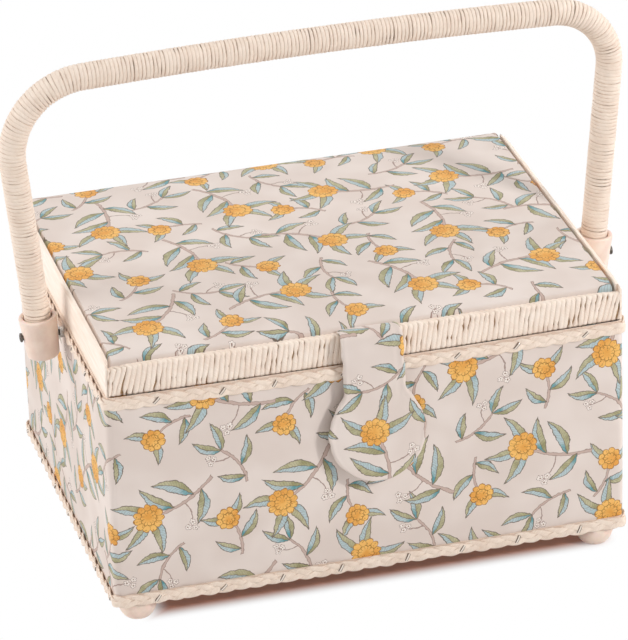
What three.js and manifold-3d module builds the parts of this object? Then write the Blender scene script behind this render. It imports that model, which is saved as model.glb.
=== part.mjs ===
// A fabric-covered sewing box: a board carcass wrapped in printed cotton, a padded hinged lid edged with
// wound paper cord, a tongue-shaped closing tab, and a cord-wound carrying handle that swings on two pivots.
// Millimetres, +Z up, front towards -Y. The origin is on the floor, under the middle of the whole object.
import * as THREE from 'three';
import { mergeVertices } from 'three/addons/utils/BufferGeometryUtils.js';
import Module from 'manifold-3d';

const wasm = await Module();
wasm.setup();

// Carcass and its coverings
const BODY_WIDTH = 261; // across the printed cover
const BODY_DEPTH = 197;
const BODY_CORNER_RADIUS = 4;
const WALL_HEIGHT = 109.5;
const BOARD_THICKNESS = 5;
const BASE_THICKNESS = 4;
const COVER_THICKNESS = 1;
const LINING_THICKNESS = 2;
const LINING_DROP = 0.5; // lining ends this far under the wall's top
const FLOOR_PAD_THICKNESS = 5;
const FLOOR_PAD_CROWN = 1.5;
const CORNER_EASE = 1; // how much rounder a board's corner is than the cover round it
const CLEARANCE = 0.3; // between pieces that only just part

// Flat paper braid along the rim and along the foot of the walls
const BRAID_HEIGHT = 6.4;
const RIM_BRAID_RISE = 0.7; // above the top of the walls
const BRAID_THICKNESS = 2.2;
const BRAID_FLATTENED = 0.6; // where a hinge leaf or a handle pivot presses on it

// Feet and the screws that hold them
const FOOT_HEIGHT = 11;
const FOOT_TOP_RADIUS = 10;
const FOOT_BOTTOM_RADIUS = 6;
const FOOT_COLLAR = 2.5; // straight stretch at the top of a foot
const FOOT_CHAMFER = 1;
const FOOT_INSET_X = 12.5;
const FOOT_INSET_Y = 10;
const FOOT_SCREW_RADIUS = 1.5;
const FOOT_SCREW_HEAD_RADIUS = 3;
const FOOT_SCREW_HEAD_HEIGHT = 1.4;
const FOOT_SCREW_BITE = 6.5; // depth of thread inside the foot

// Lid: board, rails round its edge, padding, lining
const LID_INSET_SIDE = 0.5; // lid edge inside the body's edge
const LID_INSET_FRONT = 0.5;
const LID_GAP = 1.3;
const LID_HEIGHT = 16.4; // front and back rails
const SIDE_RAIL_RISE = 2.8; // side rails above the front and back rails
const RAIL_THICKNESS = 2; // front and back rails, under the wound cord
const SIDE_RAIL_THICKNESS = 2.2;
const CORD_LAYER = 1.6;
const CORD_PITCH = 2.55;
const CORD_RELIEF = 0.7; // depth of the groove between two turns
const LID_BOARD_THICKNESS = 4;
const LID_LINING_THICKNESS = 1.5;
const LID_LINING_RECESS = 2.5; // lining above the lower edge of the rails
const PAD_DROP = 0.3; // edge of the padded top under the top of the side rails
const PAD_CROWN = 2.5;
const PAD_FABRIC_THICKNESS = 0.8;
const PINCUSHION_LENGTH = 84;
const PINCUSHION_WIDTH = 56;
const PINCUSHION_HEIGHT = 12;
const PINCUSHION_X = 60;
const PINCUSHION_TURN = 105; // degrees of its rounded profile: past a right angle its foot draws in

// Hinges at the back
const HINGE_SPACING = 160;
const HINGE_WIDTH = 32;
const LEAF_HEIGHT = 15;
const LEAF_THICKNESS = 1.2;
const KNUCKLE_RADIUS = 2;
const KNUCKLE_SHARE = 3; // knuckles on one hinge, the middle one on the lid
const PIN_RADIUS = 1;
const HINGE_SCREW_SPACING = 20;
const LOWER_SCREW_SHARE = 0.72; // how far out along a leaf its screws sit
const UPPER_SCREW_SHARE = 0.62;
const HINGE_SCREW_RADIUS = 1.2;
const HINGE_SCREW_HEAD_RADIUS = 2.4;
const HINGE_SCREW_HEAD_HEIGHT = 1;
const HINGE_SCREW_LENGTH = 4.6; // under the head

// Closing tab and its press stud
const TAB_X = 0.3; // middle of the neck at the lid's edge
const TAB_NECK_WIDTH = 31;
const TAB_DISC_WIDTH = 49;
const TAB_DISC_HEIGHT = 51;
const TAB_LENGTH = 79;
const TAB_FLARE_LENGTH = 8.2; // how far up the neck the flare starts
const TAB_FLARE_END = 140; // degrees round the oval where the flare ends
const TAB_LEAN = 0.032; // sideways drift of the tab for each millimetre that it hangs down
const TAB_PAD_THICKNESS = 3.6;
const TAB_LINING_THICKNESS = 1.2;
const TAB_EDGE_ROUND = 1.2;
const TAB_STANDOFF = 2.3; // from the braid to the back of the tab
const TAB_ANCHOR_THICKNESS = 1.2;
const STUD_FLANGE_RADIUS = 5.5;
const STUD_FLANGE_THICKNESS = 0.8;
const STUD_POST_RADIUS = 2.7;
const SOCKET_RADIUS = 6;
const SOCKET_THICKNESS = 1.4;
const STUD_PLAY = 0.6;

// Handle: a bent rod wound with paper cord, in two plastic ferrules on pivot screws
const PIVOT_Y = -12;
const PIVOT_DROP = 3; // pivot under the top of the walls
const PIVOT_STANDOFF = 3.8; // from the body's side to the ferrule
const HANDLE_HEIGHT = 137; // from the pivot to the middle of the bar
const HANDLE_SPLAY = 5.2; // degrees that each leg leans outwards
const LEFT_CORNER_RADIUS = 38; // of the bend between the bar and the left leg
const RIGHT_CORNER_RADIUS = 30;
const BAR_BOW = 2.3; // degrees that the bar turns from its middle to its end
const CORE_RADIUS = 4.2;
const WRAP_WALL = 0.9; // from the sleeve's bore to the groove between two turns
const WRAP_RELIEF = 0.7; // from that groove to the top of a turn
const WRAP_PITCH = 3;
const WRAP_START = 3; // first turn above the pivot screw
const FERRULE_WALL = 2.5;
const FERRULE_TAPER = 1.5; // how much narrower a ferrule is at its foot
const FERRULE_ABOVE = 11; // lip above the pivot
const FERRULE_BELOW = 10.8;
const FERRULE_FLOOR = 4;
const FERRULE_CHAMFER = 1;
const FERRULE_LIP_EASE = 0.5;
const PIVOT_SCREW_RADIUS = 1.5;
const PIVOT_PLAY = 0.4;
const PIVOT_HEAD_RADIUS = 2.3;
const PIVOT_HEAD_HEIGHT = 1.2;
const SPACER_RADIUS = 2.8;
const NUT_RADIUS = 3.2;
const NUT_THICKNESS = 3;

// Shape of every screw, as shares of its radius or of its head
const SCREW_TIP = 0.6;
const HEAD_SIDE = 0.4;
const HEAD_FLAT = 0.6;

// Facets of the round and padded pieces
const ROUND = 14;
const SMALL_ROUND = 8;
const FERRULE_ROUND = 18;
const WRAP_AROUND = 8;
const WRAP_BORE_TURNS = 2; // turns between two rings of the sleeve's bore
const CORE_STEPS = 80;
const NUT_SIDES = 6;
const CORNER_STEPS = 4; // on a quarter turn of an outline, or on half the rod
const TAB_OUTLINE_STEPS = 10;
const TAB_EDGE_STEPS = 2;
const PAD_COLUMNS = 10;
const PAD_ROWS = 8;
const PINCUSHION_RINGS = 6;
const PINCUSHION_ROUND = 20;
const MERGE_DISTANCE = 1e-4; // points nearer than this are one

// Levels and planes that follow from the sizes above
const baseZ = FOOT_HEIGHT;
const floorZ = baseZ + BASE_THICKNESS;
const rimZ = floorZ + WALL_HEIGHT;
const lidZ = rimZ + LID_GAP;
const lidTop = lidZ + LID_HEIGHT;
const sideRailTop = lidTop + SIDE_RAIL_RISE;
const halfWidth = BODY_WIDTH / 2;
const halfDepth = BODY_DEPTH / 2;
const boardX = halfWidth - COVER_THICKNESS; // outer face of the side boards
const boardY = halfDepth - COVER_THICKNESS;
const roomX = boardX - BOARD_THICKNESS; // inner face of the side boards
const roomY = boardY - BOARD_THICKNESS;
const lidX = halfWidth - LID_INSET_SIDE;
const lidY = halfDepth - LID_INSET_FRONT;
const lidRoomX = lidX - SIDE_RAIL_THICKNESS;
const lidRoomY = lidY - CORD_LAYER - RAIL_THICKNESS;
const hingeY = halfDepth + BRAID_FLATTENED + CLEARANCE + KNUCKLE_RADIUS;
const hingeZ = rimZ + LID_GAP / 2;
const tabBackY = -(halfDepth + BRAID_THICKNESS + TAB_STANDOFF);
const tabFrontY = tabBackY - TAB_LINING_THICKNESS - TAB_PAD_THICKNESS;
const tabDiscZ = lidTop - TAB_LENGTH + TAB_DISC_HEIGHT / 2;
const tabDiscX = TAB_X + TAB_LEAN * (lidTop - tabDiscZ);
const pivotZ = rimZ - PIVOT_DROP;
const splay = THREE.MathUtils.degToRad(HANDLE_SPLAY);
// How far the straight facets of the sleeve's bore cut into the bends
const cornerSag = (WRAP_BORE_TURNS * WRAP_PITCH) ** 2 / (4 * Math.min(LEFT_CORNER_RADIUS, RIGHT_CORNER_RADIUS));
const wrapBoreRadius = (CORE_RADIUS + CLEARANCE + cornerSag) / Math.cos(Math.PI / WRAP_AROUND);
const wrapGrooveRadius = wrapBoreRadius + WRAP_WALL;
const wrapCrestRadius = wrapGrooveRadius + WRAP_RELIEF;
const ferruleTopRadius = wrapCrestRadius + CLEARANCE + FERRULE_WALL;
const ferruleBottomRadius = ferruleTopRadius - FERRULE_TAPER;
const ferrulePivotRadius = THREE.MathUtils.lerp(ferruleTopRadius, ferruleBottomRadius,
  FERRULE_ABOVE / (FERRULE_ABOVE + FERRULE_BELOW));
const pivotX = halfWidth + PIVOT_STANDOFF + ferrulePivotRadius;
const SIDES = [['left', -1], ['right', 1]];

// Finishes
function finish(color, roughness, metalness = 0) {
  return new THREE.MeshStandardMaterial({ color, roughness, metalness });
}
const board = finish('#b08d62', 0.85);
const printedCotton = finish('#ddd2c8', 0.9);
const plainCotton = finish('#efe6d8', 0.9);
const foam = finish('#f3ecd0', 0.95);
const paperCord = finish('#ecd4c0', 0.65);
const smoothRail = finish('#f3dfcd', 0.5);
const peachPlastic = finish('#efd3c0', 0.4);
const steel = finish('#6f6a66', 0.35, 1);
const brass = finish('#b99a57', 0.35, 1);

// Solid tools: closed geometry in, closed geometry out
function toSolid(geometry) {
  const bare = new THREE.BufferGeometry();
  bare.setAttribute('position', geometry.getAttribute('position').clone());
  bare.setIndex(geometry.getIndex());
  const merged = mergeVertices(bare, MERGE_DISTANCE);
  const index = merged.getIndex().array;
  const faces = [];
  for (let i = 0; i < index.length; i += 3) {
    const [a, b, c] = index.slice(i, i + 3);
    if (a !== b && b !== c && c !== a) faces.push(a, b, c);
  }
  return new wasm.Manifold(new wasm.Mesh({
    numProp: 3,
    vertProperties: new Float32Array(merged.getAttribute('position').array),
    triVerts: new Uint32Array(faces),
  }));
}

function toGeometry(solid) {
  const mesh = solid.getMesh();
  const geometry = new THREE.BufferGeometry();
  geometry.setAttribute('position', new THREE.BufferAttribute(new Float32Array(mesh.vertProperties), 3));
  geometry.setIndex(new THREE.BufferAttribute(new Uint32Array(mesh.triVerts), 1));
  geometry.computeVertexNormals();
  return geometry;
}

function cut(geometry, tools) {
  return toGeometry(tools.reduce((solid, tool) => solid.subtract(toSolid(tool)), toSolid(geometry)));
}

function join(geometry, others) {
  return toGeometry(others.reduce((solid, other) => solid.add(toSolid(other)), toSolid(geometry)));
}

// Plain shapes
function block(x0, x1, y0, y1, z0, z1) {
  return new THREE.BoxGeometry(x1 - x0, y1 - y0, z1 - z0)
    .translate((x0 + x1) / 2, (y0 + y1) / 2, (z0 + z1) / 2);
}

function roundedOutline(halfX, halfY, radius) {
  const outline = new THREE.Shape();
  outline.absarc(halfX - radius, halfY - radius, radius, 0, Math.PI / 2);
  outline.absarc(radius - halfX, halfY - radius, radius, Math.PI / 2, Math.PI);
  outline.absarc(radius - halfX, radius - halfY, radius, Math.PI, 1.5 * Math.PI);
  outline.absarc(halfX - radius, radius - halfY, radius, 1.5 * Math.PI, 2 * Math.PI);
  outline.closePath();
  return outline;
}

function upright(outline, z0, z1) {
  const options = { depth: z1 - z0, bevelEnabled: false, curveSegments: CORNER_STEPS };
  return new THREE.ExtrudeGeometry(outline, options)
    .translate(0, 0, z0);
}

// A ring between two rounded rectangles
function ring(halfX, halfY, radius, innerX, innerY, innerRadius, z0, z1) {
  const outline = roundedOutline(halfX, halfY, radius);
  outline.holes.push(roundedOutline(innerX, innerY, innerRadius));
  return upright(outline, z0, z1);
}

// An outline of (x, z) points carried along Y, and one of (y, z) points carried along X
function carriedAlongY(outline, y0, y1, options = {}) {
  return new THREE.ExtrudeGeometry(outline, { depth: y1 - y0, bevelEnabled: false, ...options })
    .rotateX(Math.PI / 2)
    .translate(0, y1, 0);
}

function carriedAlongX(points, x0, x1) {
  const outline = new THREE.Shape(points.map(([y, z]) => new THREE.Vector2(y, z)));
  const axes = new THREE.Matrix4().makeBasis(
    new THREE.Vector3(0, 1, 0), new THREE.Vector3(0, 0, 1), new THREE.Vector3(1, 0, 0));
  return new THREE.ExtrudeGeometry(outline, { depth: x1 - x0, bevelEnabled: false })
    .applyMatrix4(axes)
    .translate(x0, 0, 0);
}

// Rods along each axis, for pins and for holes
function rodX(radius, x0, x1, y, z, segments = SMALL_ROUND) {
  return new THREE.CylinderGeometry(radius, radius, x1 - x0, segments)
    .rotateZ(Math.PI / 2)
    .translate((x0 + x1) / 2, y, z);
}

function rodY(radius, y0, y1, x, z) {
  return new THREE.CylinderGeometry(radius, radius, y1 - y0, SMALL_ROUND).translate(x, (y0 + y1) / 2, z);
}

function rodZ(radius, z0, z1, x, y) {
  return new THREE.CylinderGeometry(radius, radius, z1 - z0, SMALL_ROUND)
    .rotateX(Math.PI / 2)
    .translate(x, y, (z0 + z1) / 2);
}

// A turned piece: (radius, height) pairs about Z
function turned(profile, segments = ROUND) {
  return new THREE.LatheGeometry(profile.map(([r, h]) => new THREE.Vector2(r, h)), segments)
    .rotateX(Math.PI / 2);
}

// A pan-headed screw about Z, head on top, seat of the head at zero
function screw(radius, length, headRadius, headHeight) {
  return turned([
    [0, -length], [radius * SCREW_TIP, -length], [radius, -length + radius], [radius, 0],
    [headRadius, 0], [headRadius, headHeight * HEAD_SIDE], [headRadius * HEAD_FLAT, headHeight],
    [0, headHeight],
  ], SMALL_ROUND);
}

// A rectangular padded piece: a grid with its own upper and lower height at every point
function padded(halfX, halfY, upper, lower) {
  const columns = PAD_COLUMNS;
  const rows = PAD_ROWS;
  const points = [];
  const faces = [];
  const stride = columns + 1;
  const layer = stride * (rows + 1);
  for (const height of [upper, lower]) {
    for (let r = 0; r <= rows; r += 1) {
      for (let c = 0; c <= columns; c += 1) {
        const u = (2 * c) / columns - 1;
        const v = (2 * r) / rows - 1;
        points.push(u * halfX, v * halfY, height(u, v));
      }
    }
  }
  for (let r = 0; r < rows; r += 1) {
    for (let c = 0; c < columns; c += 1) {
      const a = r * stride + c;
      const b = a + 1;
      const d = a + stride;
      const e = d + 1;
      faces.push(a, b, e, a, e, d);
      faces.push(layer + a, layer + e, layer + b, layer + a, layer + d, layer + e);
    }
  }
  const edge = [];
  for (let c = 0; c < columns; c += 1) edge.push(c);
  for (let r = 0; r < rows; r += 1) edge.push(r * stride + columns);
  for (let c = columns; c > 0; c -= 1) edge.push(rows * stride + c);
  for (let r = rows; r > 0; r -= 1) edge.push(r * stride);
  edge.forEach((a, i) => {
    const b = edge[(i + 1) % edge.length];
    faces.push(a, layer + a, layer + b, a, layer + b, b);
  });
  const geometry = new THREE.BufferGeometry();
  geometry.setAttribute('position', new THREE.Float32BufferAttribute(points, 3));
  geometry.setIndex(faces);
  geometry.computeVertexNormals();
  return geometry;
}

// Height share of a pad's crown: full over the middle, falling off towards its sides
function crown(u, v) {
  return (1 - u ** 4) * (1 - v ** 4);
}

function piece(group, name, geometry, material, position = [0, 0, 0]) {
  const mesh = new THREE.Mesh(geometry, material);
  mesh.name = name;
  mesh.position.set(...position);
  group.add(mesh);
  return mesh;
}

// Holes that several layers share
function pivotHole(side, radius) {
  return rodX(radius, side > 0 ? 0 : -2 * pivotX, side > 0 ? 2 * pivotX : 0, PIVOT_Y, pivotZ);
}

const hingeScrewX = SIDES.flatMap(([, side]) => [-1, 1].map(
  (end) => (side * HINGE_SPACING) / 2 + (end * HINGE_SCREW_SPACING) / 2));
const lowerScrewZ = hingeZ - LEAF_HEIGHT * LOWER_SCREW_SHARE;
const upperScrewZ = hingeZ + LEAF_HEIGHT * UPPER_SCREW_SHARE;

function hingeScrewHoles(z, radius) {
  return hingeScrewX.map((x) => rodY(radius, 0, 2 * hingeY, x, z));
}

// Base, four walls, and the printed cover round them
function addCarcass(group) {
  const boardCorner = BODY_CORNER_RADIUS - COVER_THICKNESS + CORNER_EASE;
  const footPlaces = footPositions();
  const counterbore = FOOT_SCREW_HEAD_HEIGHT + CLEARANCE;
  const basePlate = upright(roundedOutline(boardX, boardY, boardCorner), baseZ, floorZ);
  const baseHoles = footPlaces.flatMap(([, x, y]) => [
    rodZ(FOOT_SCREW_RADIUS + CLEARANCE, baseZ - BASE_THICKNESS, floorZ + BASE_THICKNESS, x, y),
    rodZ(FOOT_SCREW_HEAD_RADIUS + CLEARANCE, floorZ - counterbore, floorZ + counterbore, x, y),
  ]);
  piece(group, 'base_board', cut(basePlate, baseHoles), board);

  const wholeWall = upright(roundedOutline(boardX, boardY, boardCorner), floorZ, rimZ);
  const behindFront = block(-boardX, boardX, -roomY, 2 * boardY, 0, 2 * rimZ);
  const beforeBack = block(-boardX, boardX, -2 * boardY, roomY, 0, 2 * rimZ);
  piece(group, 'front_board', cut(wholeWall, [behindFront]), board);
  piece(group, 'back_board',
    cut(wholeWall, [beforeBack, ...hingeScrewHoles(lowerScrewZ, HINGE_SCREW_RADIUS + CLEARANCE)]), board);
  for (const [label, side] of SIDES) {
    const wall = block(Math.min(side * boardX, side * roomX), Math.max(side * boardX, side * roomX),
      -roomY, roomY, floorZ, rimZ);
    const nutRoom = (NUT_RADIUS + CLEARANCE) / Math.cos(Math.PI / SMALL_ROUND);
    const nutPocket = rodX(nutRoom, roomX - CLEARANCE, roomX + NUT_THICKNESS + CLEARANCE,
      side * PIVOT_Y, pivotZ).rotateZ(side > 0 ? 0 : Math.PI);
    piece(group, `${label}_board`,
      cut(wall, [pivotHole(side, PIVOT_SCREW_RADIUS + CLEARANCE), nutPocket]), board);
  }

  const cover = ring(halfWidth, halfDepth, BODY_CORNER_RADIUS, boardX, boardY,
    BODY_CORNER_RADIUS - COVER_THICKNESS, baseZ, rimZ);
  piece(group, 'body_cover', cut(cover, [
    ...SIDES.map(([, side]) => pivotHole(side, PIVOT_SCREW_RADIUS + CLEARANCE)),
    ...hingeScrewHoles(lowerScrewZ, HINGE_SCREW_RADIUS + CLEARANCE),
  ]), printedCotton);
}

// Flat braid tacked round the rim and round the foot of the walls
function addBraids(group) {
  const braid = (z0, z1) => ring(halfWidth + BRAID_THICKNESS, halfDepth + BRAID_THICKNESS,
    BODY_CORNER_RADIUS + BRAID_THICKNESS, halfWidth, halfDepth, BODY_CORNER_RADIUS - CORNER_EASE, z0, z1);
  const pressedX = halfWidth + BRAID_FLATTENED;
  const pressedY = halfDepth + BRAID_FLATTENED;
  const pivotReach = Math.hypot(FERRULE_BELOW, ferruleBottomRadius) + CLEARANCE;
  const dents = SIDES.flatMap(([, side]) => [
    block(Math.min(side * pressedX, 2 * side * pressedX), Math.max(side * pressedX, 2 * side * pressedX),
      PIVOT_Y - pivotReach, PIVOT_Y + pivotReach, 0, 2 * rimZ),
    block((side * HINGE_SPACING - HINGE_WIDTH) / 2 - CLEARANCE,
      (side * HINGE_SPACING + HINGE_WIDTH) / 2 + CLEARANCE, pressedY, 2 * pressedY, 0, 2 * rimZ),
    pivotHole(side, PIVOT_SCREW_RADIUS + CLEARANCE),
  ]);
  const rimBraidTop = rimZ + RIM_BRAID_RISE;
  piece(group, 'rim_braid', cut(braid(rimBraidTop - BRAID_HEIGHT, rimBraidTop), dents), paperCord);
  piece(group, 'base_braid', braid(baseZ, baseZ + BRAID_HEIGHT), paperCord);
}

// Padded lining inside the walls and on the floor
function addLining(group) {
  const innerX = roomX - LINING_THICKNESS;
  const innerY = roomY - LINING_THICKNESS;
  piece(group, 'wall_lining', ring(roomX, roomY, LINING_THICKNESS + CORNER_EASE, innerX, innerY, CORNER_EASE,
    floorZ, rimZ - LINING_DROP), plainCotton);
  piece(group, 'floor_pad', padded(innerX - CLEARANCE, innerY - CLEARANCE,
    (u, v) => floorZ + FLOOR_PAD_THICKNESS + FLOOR_PAD_CROWN * crown(u, v), () => floorZ), plainCotton);
}

// Four turned feet, each held by a screw sunk into the base from inside
function footPositions() {
  return SIDES.flatMap(([label, side]) => [['front', -1], ['back', 1]].map(([row, end]) => [
    `${row}_${label}`, side * (halfWidth - FOOT_INSET_X), end * (halfDepth - FOOT_INSET_Y),
  ]));
}

function addFeet(group) {
  const holeDepth = FOOT_SCREW_BITE + CLEARANCE;
  const holeRadius = FOOT_SCREW_RADIUS + CLEARANCE;
  const foot = turned([
    [0, 0], [FOOT_BOTTOM_RADIUS, 0], [FOOT_BOTTOM_RADIUS + FOOT_CHAMFER, FOOT_CHAMFER],
    [FOOT_TOP_RADIUS, FOOT_HEIGHT - FOOT_COLLAR],
    [FOOT_TOP_RADIUS, FOOT_HEIGHT], [holeRadius, FOOT_HEIGHT], [holeRadius, FOOT_HEIGHT - holeDepth],
    [0, FOOT_HEIGHT - holeDepth],
  ]);
  const headSeat = floorZ - FOOT_SCREW_HEAD_HEIGHT;
  const footScrew = screw(FOOT_SCREW_RADIUS, headSeat - baseZ + FOOT_SCREW_BITE, FOOT_SCREW_HEAD_RADIUS,
    FOOT_SCREW_HEAD_HEIGHT);
  for (const [label, x, y] of footPositions()) {
    piece(group, `foot_${label}`, foot, peachPlastic, [x, y, 0]);
    piece(group, `foot_screw_${label}`, footScrew, steel, [x, y, headSeat]);
  }
}

// Screw, nut and spacer of each handle pivot, fixed to the side boards
function addPivots(group) {
  const tilt = SPACER_RADIUS * Math.tan(splay);
  const ferruleInner = pivotX - ferrulePivotRadius / Math.cos(splay) - tilt - CLEARANCE;
  const headTilt = PIVOT_HEAD_RADIUS * Math.tan(splay);
  const headSeat = pivotX + ferrulePivotRadius / Math.cos(splay) + headTilt + CLEARANCE;
  const spacerFoot = halfWidth + BRAID_FLATTENED;
  const holeRadius = PIVOT_SCREW_RADIUS + CLEARANCE;
  const screwLength = headSeat - roomX;
  const spacerLength = ferruleInner - spacerFoot;
  const pivotScrew = screw(PIVOT_SCREW_RADIUS, screwLength, PIVOT_HEAD_RADIUS, PIVOT_HEAD_HEIGHT);
  const spacer = turned([
    [holeRadius, 0], [SPACER_RADIUS, 0], [SPACER_RADIUS, spacerLength], [holeRadius, spacerLength],
    [holeRadius, 0],
  ]);
  const nut = turned([
    [holeRadius, 0], [NUT_RADIUS, 0], [NUT_RADIUS, NUT_THICKNESS], [holeRadius, NUT_THICKNESS], [holeRadius, 0],
  ], NUT_SIDES);
  for (const [label, side] of SIDES) {
    const pivot = new THREE.Group();
    pivot.position.set(0, PIVOT_Y, pivotZ);
    pivot.rotation.y = (side * Math.PI) / 2;
    group.add(pivot);
    piece(pivot, `pivot_screw_${label}`, pivotScrew, steel, [0, 0, headSeat]);
    piece(pivot, `pivot_spacer_${label}`, spacer, steel, [0, 0, spacerFoot]);
    piece(pivot, `pivot_nut_${label}`, nut, steel, [0, 0, roomX]);
  }
}

// Hinges: a leaf on the back wall, a leaf on the lid's back rail, one pin through both
function addHinges(bodyGroup, lidGroup) {
  const knuckle = HINGE_WIDTH / KNUCKLE_SHARE;
  const holeRadius = HINGE_SCREW_RADIUS + CLEARANCE;
  const lowerInner = halfDepth + BRAID_FLATTENED;
  const upperInner = lidY + CLEARANCE;
  const leafScrew = screw(HINGE_SCREW_RADIUS, HINGE_SCREW_LENGTH, HINGE_SCREW_HEAD_RADIUS,
    HINGE_SCREW_HEAD_HEIGHT).rotateX(-Math.PI / 2);
  const pinHole = (x) => rodX(PIN_RADIUS + CLEARANCE, x - HINGE_WIDTH, x + HINGE_WIDTH, hingeY, hingeZ);
  const swing = KNUCKLE_RADIUS + CLEARANCE;
  for (const [label, side] of SIDES) {
    const x = (side * HINGE_SPACING) / 2;
    const x0 = x - HINGE_WIDTH / 2;
    const x1 = x + HINGE_WIDTH / 2;
    const middle0 = x - knuckle / 2;
    const middle1 = x + knuckle / 2;

    const lowerPlate = block(x0, x1, lowerInner, lowerInner + LEAF_THICKNESS,
      hingeZ - LEAF_HEIGHT, hingeZ - CLEARANCE);
    const lowerLeaf = cut(
      join(lowerPlate, [rodX(KNUCKLE_RADIUS, x0, x1, hingeY, hingeZ, ROUND)]),
      [
        pinHole(x),
        block(middle0 - CLEARANCE, middle1 + CLEARANCE, hingeY - swing, hingeY + swing,
          hingeZ - swing, hingeZ + swing),
        ...hingeScrewHoles(lowerScrewZ, holeRadius),
      ],
    );
    piece(bodyGroup, `hinge_lower_leaf_${label}`, lowerLeaf, brass);
    piece(bodyGroup, `hinge_pin_${label}`, rodX(PIN_RADIUS, x0, x1, hingeY, hingeZ), steel);

    const upperPlate = block(x0, x1, upperInner, upperInner + LEAF_THICKNESS,
      lidZ + swing, hingeZ + LEAF_HEIGHT);
    const web = carriedAlongX([
      [upperInner, lidZ + swing + LEAF_THICKNESS], [upperInner, lidZ + CLEARANCE], [hingeY, hingeZ],
      [hingeY, hingeZ + KNUCKLE_RADIUS - CLEARANCE],
      [upperInner + LEAF_THICKNESS, lidZ + swing + LEAF_THICKNESS],
    ], middle0, middle1);
    const upperLeaf = cut(
      join(upperPlate, [web, rodX(KNUCKLE_RADIUS, middle0, middle1, hingeY, hingeZ, ROUND)]),
      [pinHole(x), ...hingeScrewHoles(upperScrewZ, holeRadius)],
    );
    piece(lidGroup, `hinge_upper_leaf_${label}`, upperLeaf, brass);

    for (const [end, offset] of [['outer', side], ['inner', -side]]) {
      const screwX = x + (offset * HINGE_SCREW_SPACING) / 2;
      piece(bodyGroup, `hinge_screw_lower_${label}_${end}`, leafScrew, brass,
        [screwX, lowerInner + LEAF_THICKNESS, lowerScrewZ]);
      piece(lidGroup, `hinge_screw_upper_${label}_${end}`, leafScrew, brass,
        [screwX, upperInner + LEAF_THICKNESS, upperScrewZ]);
    }
  }
}

// A rail's face of close-wound cord: straight at the back, one ridge for each turn at the front
function woundFace() {
  const turns = Math.round((2 * lidX) / CORD_PITCH);
  const pitch = (2 * lidX) / turns;
  const outline = new THREE.Shape();
  outline.moveTo(lidX, CORD_LAYER);
  outline.lineTo(-lidX, CORD_LAYER);
  for (let turn = 0; turn < turns; turn += 1) {
    outline.lineTo(-lidX + turn * pitch, CORD_RELIEF);
    outline.lineTo(-lidX + (turn + 0.5) * pitch, 0);
  }
  outline.lineTo(lidX, CORD_RELIEF);
  outline.closePath();
  return upright(outline, lidZ, lidTop);
}

// Lid: rails with wound cord in front and behind, board, padded printed top, lining and pincushion
function addLid(group) {
  const railY = lidY - CORD_LAYER;
  const rail = block(-lidX, lidX, -railY, -lidRoomY, lidZ, lidTop);
  const upperHoles = hingeScrewHoles(upperScrewZ, HINGE_SCREW_RADIUS + CLEARANCE);
  piece(group, 'lid_front_rail', rail, board);
  piece(group, 'lid_back_rail', cut(rail.clone().rotateZ(Math.PI), upperHoles), board);
  const winding = woundFace().translate(0, -lidY, 0);
  piece(group, 'lid_front_winding', winding, paperCord);
  piece(group, 'lid_back_winding', cut(winding.clone().rotateZ(Math.PI), upperHoles), paperCord);
  for (const [label, side] of SIDES) {
    const sideRail = block(lidRoomX, lidX, -lidRoomY, lidRoomY, lidZ, sideRailTop);
    piece(group, `lid_${label}_rail`, sideRail.rotateZ(side > 0 ? 0 : Math.PI), smoothRail);
  }

  const liningZ = lidZ + LID_LINING_RECESS;
  const boardZ = liningZ + LID_LINING_THICKNESS;
  const foamZ = boardZ + LID_BOARD_THICKNESS;
  const fabricEdge = sideRailTop - PAD_DROP;
  const fabricUnder = fabricEdge - PAD_FABRIC_THICKNESS;
  const padX = lidRoomX - CLEARANCE;
  const padY = lidRoomY - CLEARANCE;
  piece(group, 'lid_board', block(-lidRoomX, lidRoomX, -lidRoomY, lidRoomY, boardZ, foamZ), board);
  piece(group, 'lid_lining', block(-padX, padX, -padY, padY, liningZ, boardZ), plainCotton);
  piece(group, 'lid_foam', padded(padX, padY,
    (u, v) => fabricUnder - CLEARANCE + PAD_CROWN * crown(u, v), () => foamZ), foam);
  piece(group, 'lid_top_fabric', padded(padX, padY,
    (u, v) => fabricEdge + PAD_CROWN * crown(u, v),
    (u, v) => fabricUnder + PAD_CROWN * crown(u, v)), printedCotton);

  const domeTurn = THREE.MathUtils.degToRad(PINCUSHION_TURN);
  const domeProfile = [];
  for (let ringIndex = 0; ringIndex <= PINCUSHION_RINGS; ringIndex += 1) {
    const angle = (domeTurn * ringIndex) / PINCUSHION_RINGS;
    const depth = (Math.cos(angle) - Math.cos(domeTurn)) / (1 - Math.cos(domeTurn));
    domeProfile.push([Math.sin(angle), -depth]);
  }
  const dome = turned([...domeProfile, [0, 0]], PINCUSHION_ROUND)
    .scale(PINCUSHION_LENGTH / 2, PINCUSHION_WIDTH / 2, PINCUSHION_HEIGHT);
  piece(group, 'pincushion', dome, printedCotton, [PINCUSHION_X, 0, liningZ]);

  const neck = TAB_NECK_WIDTH / 2;
  piece(group, 'tab_anchor', block(TAB_X - neck, TAB_X + neck, tabBackY + CLEARANCE, -lidRoomY,
    lidTop, lidTop + TAB_ANCHOR_THICKNESS), printedCotton);
}

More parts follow.
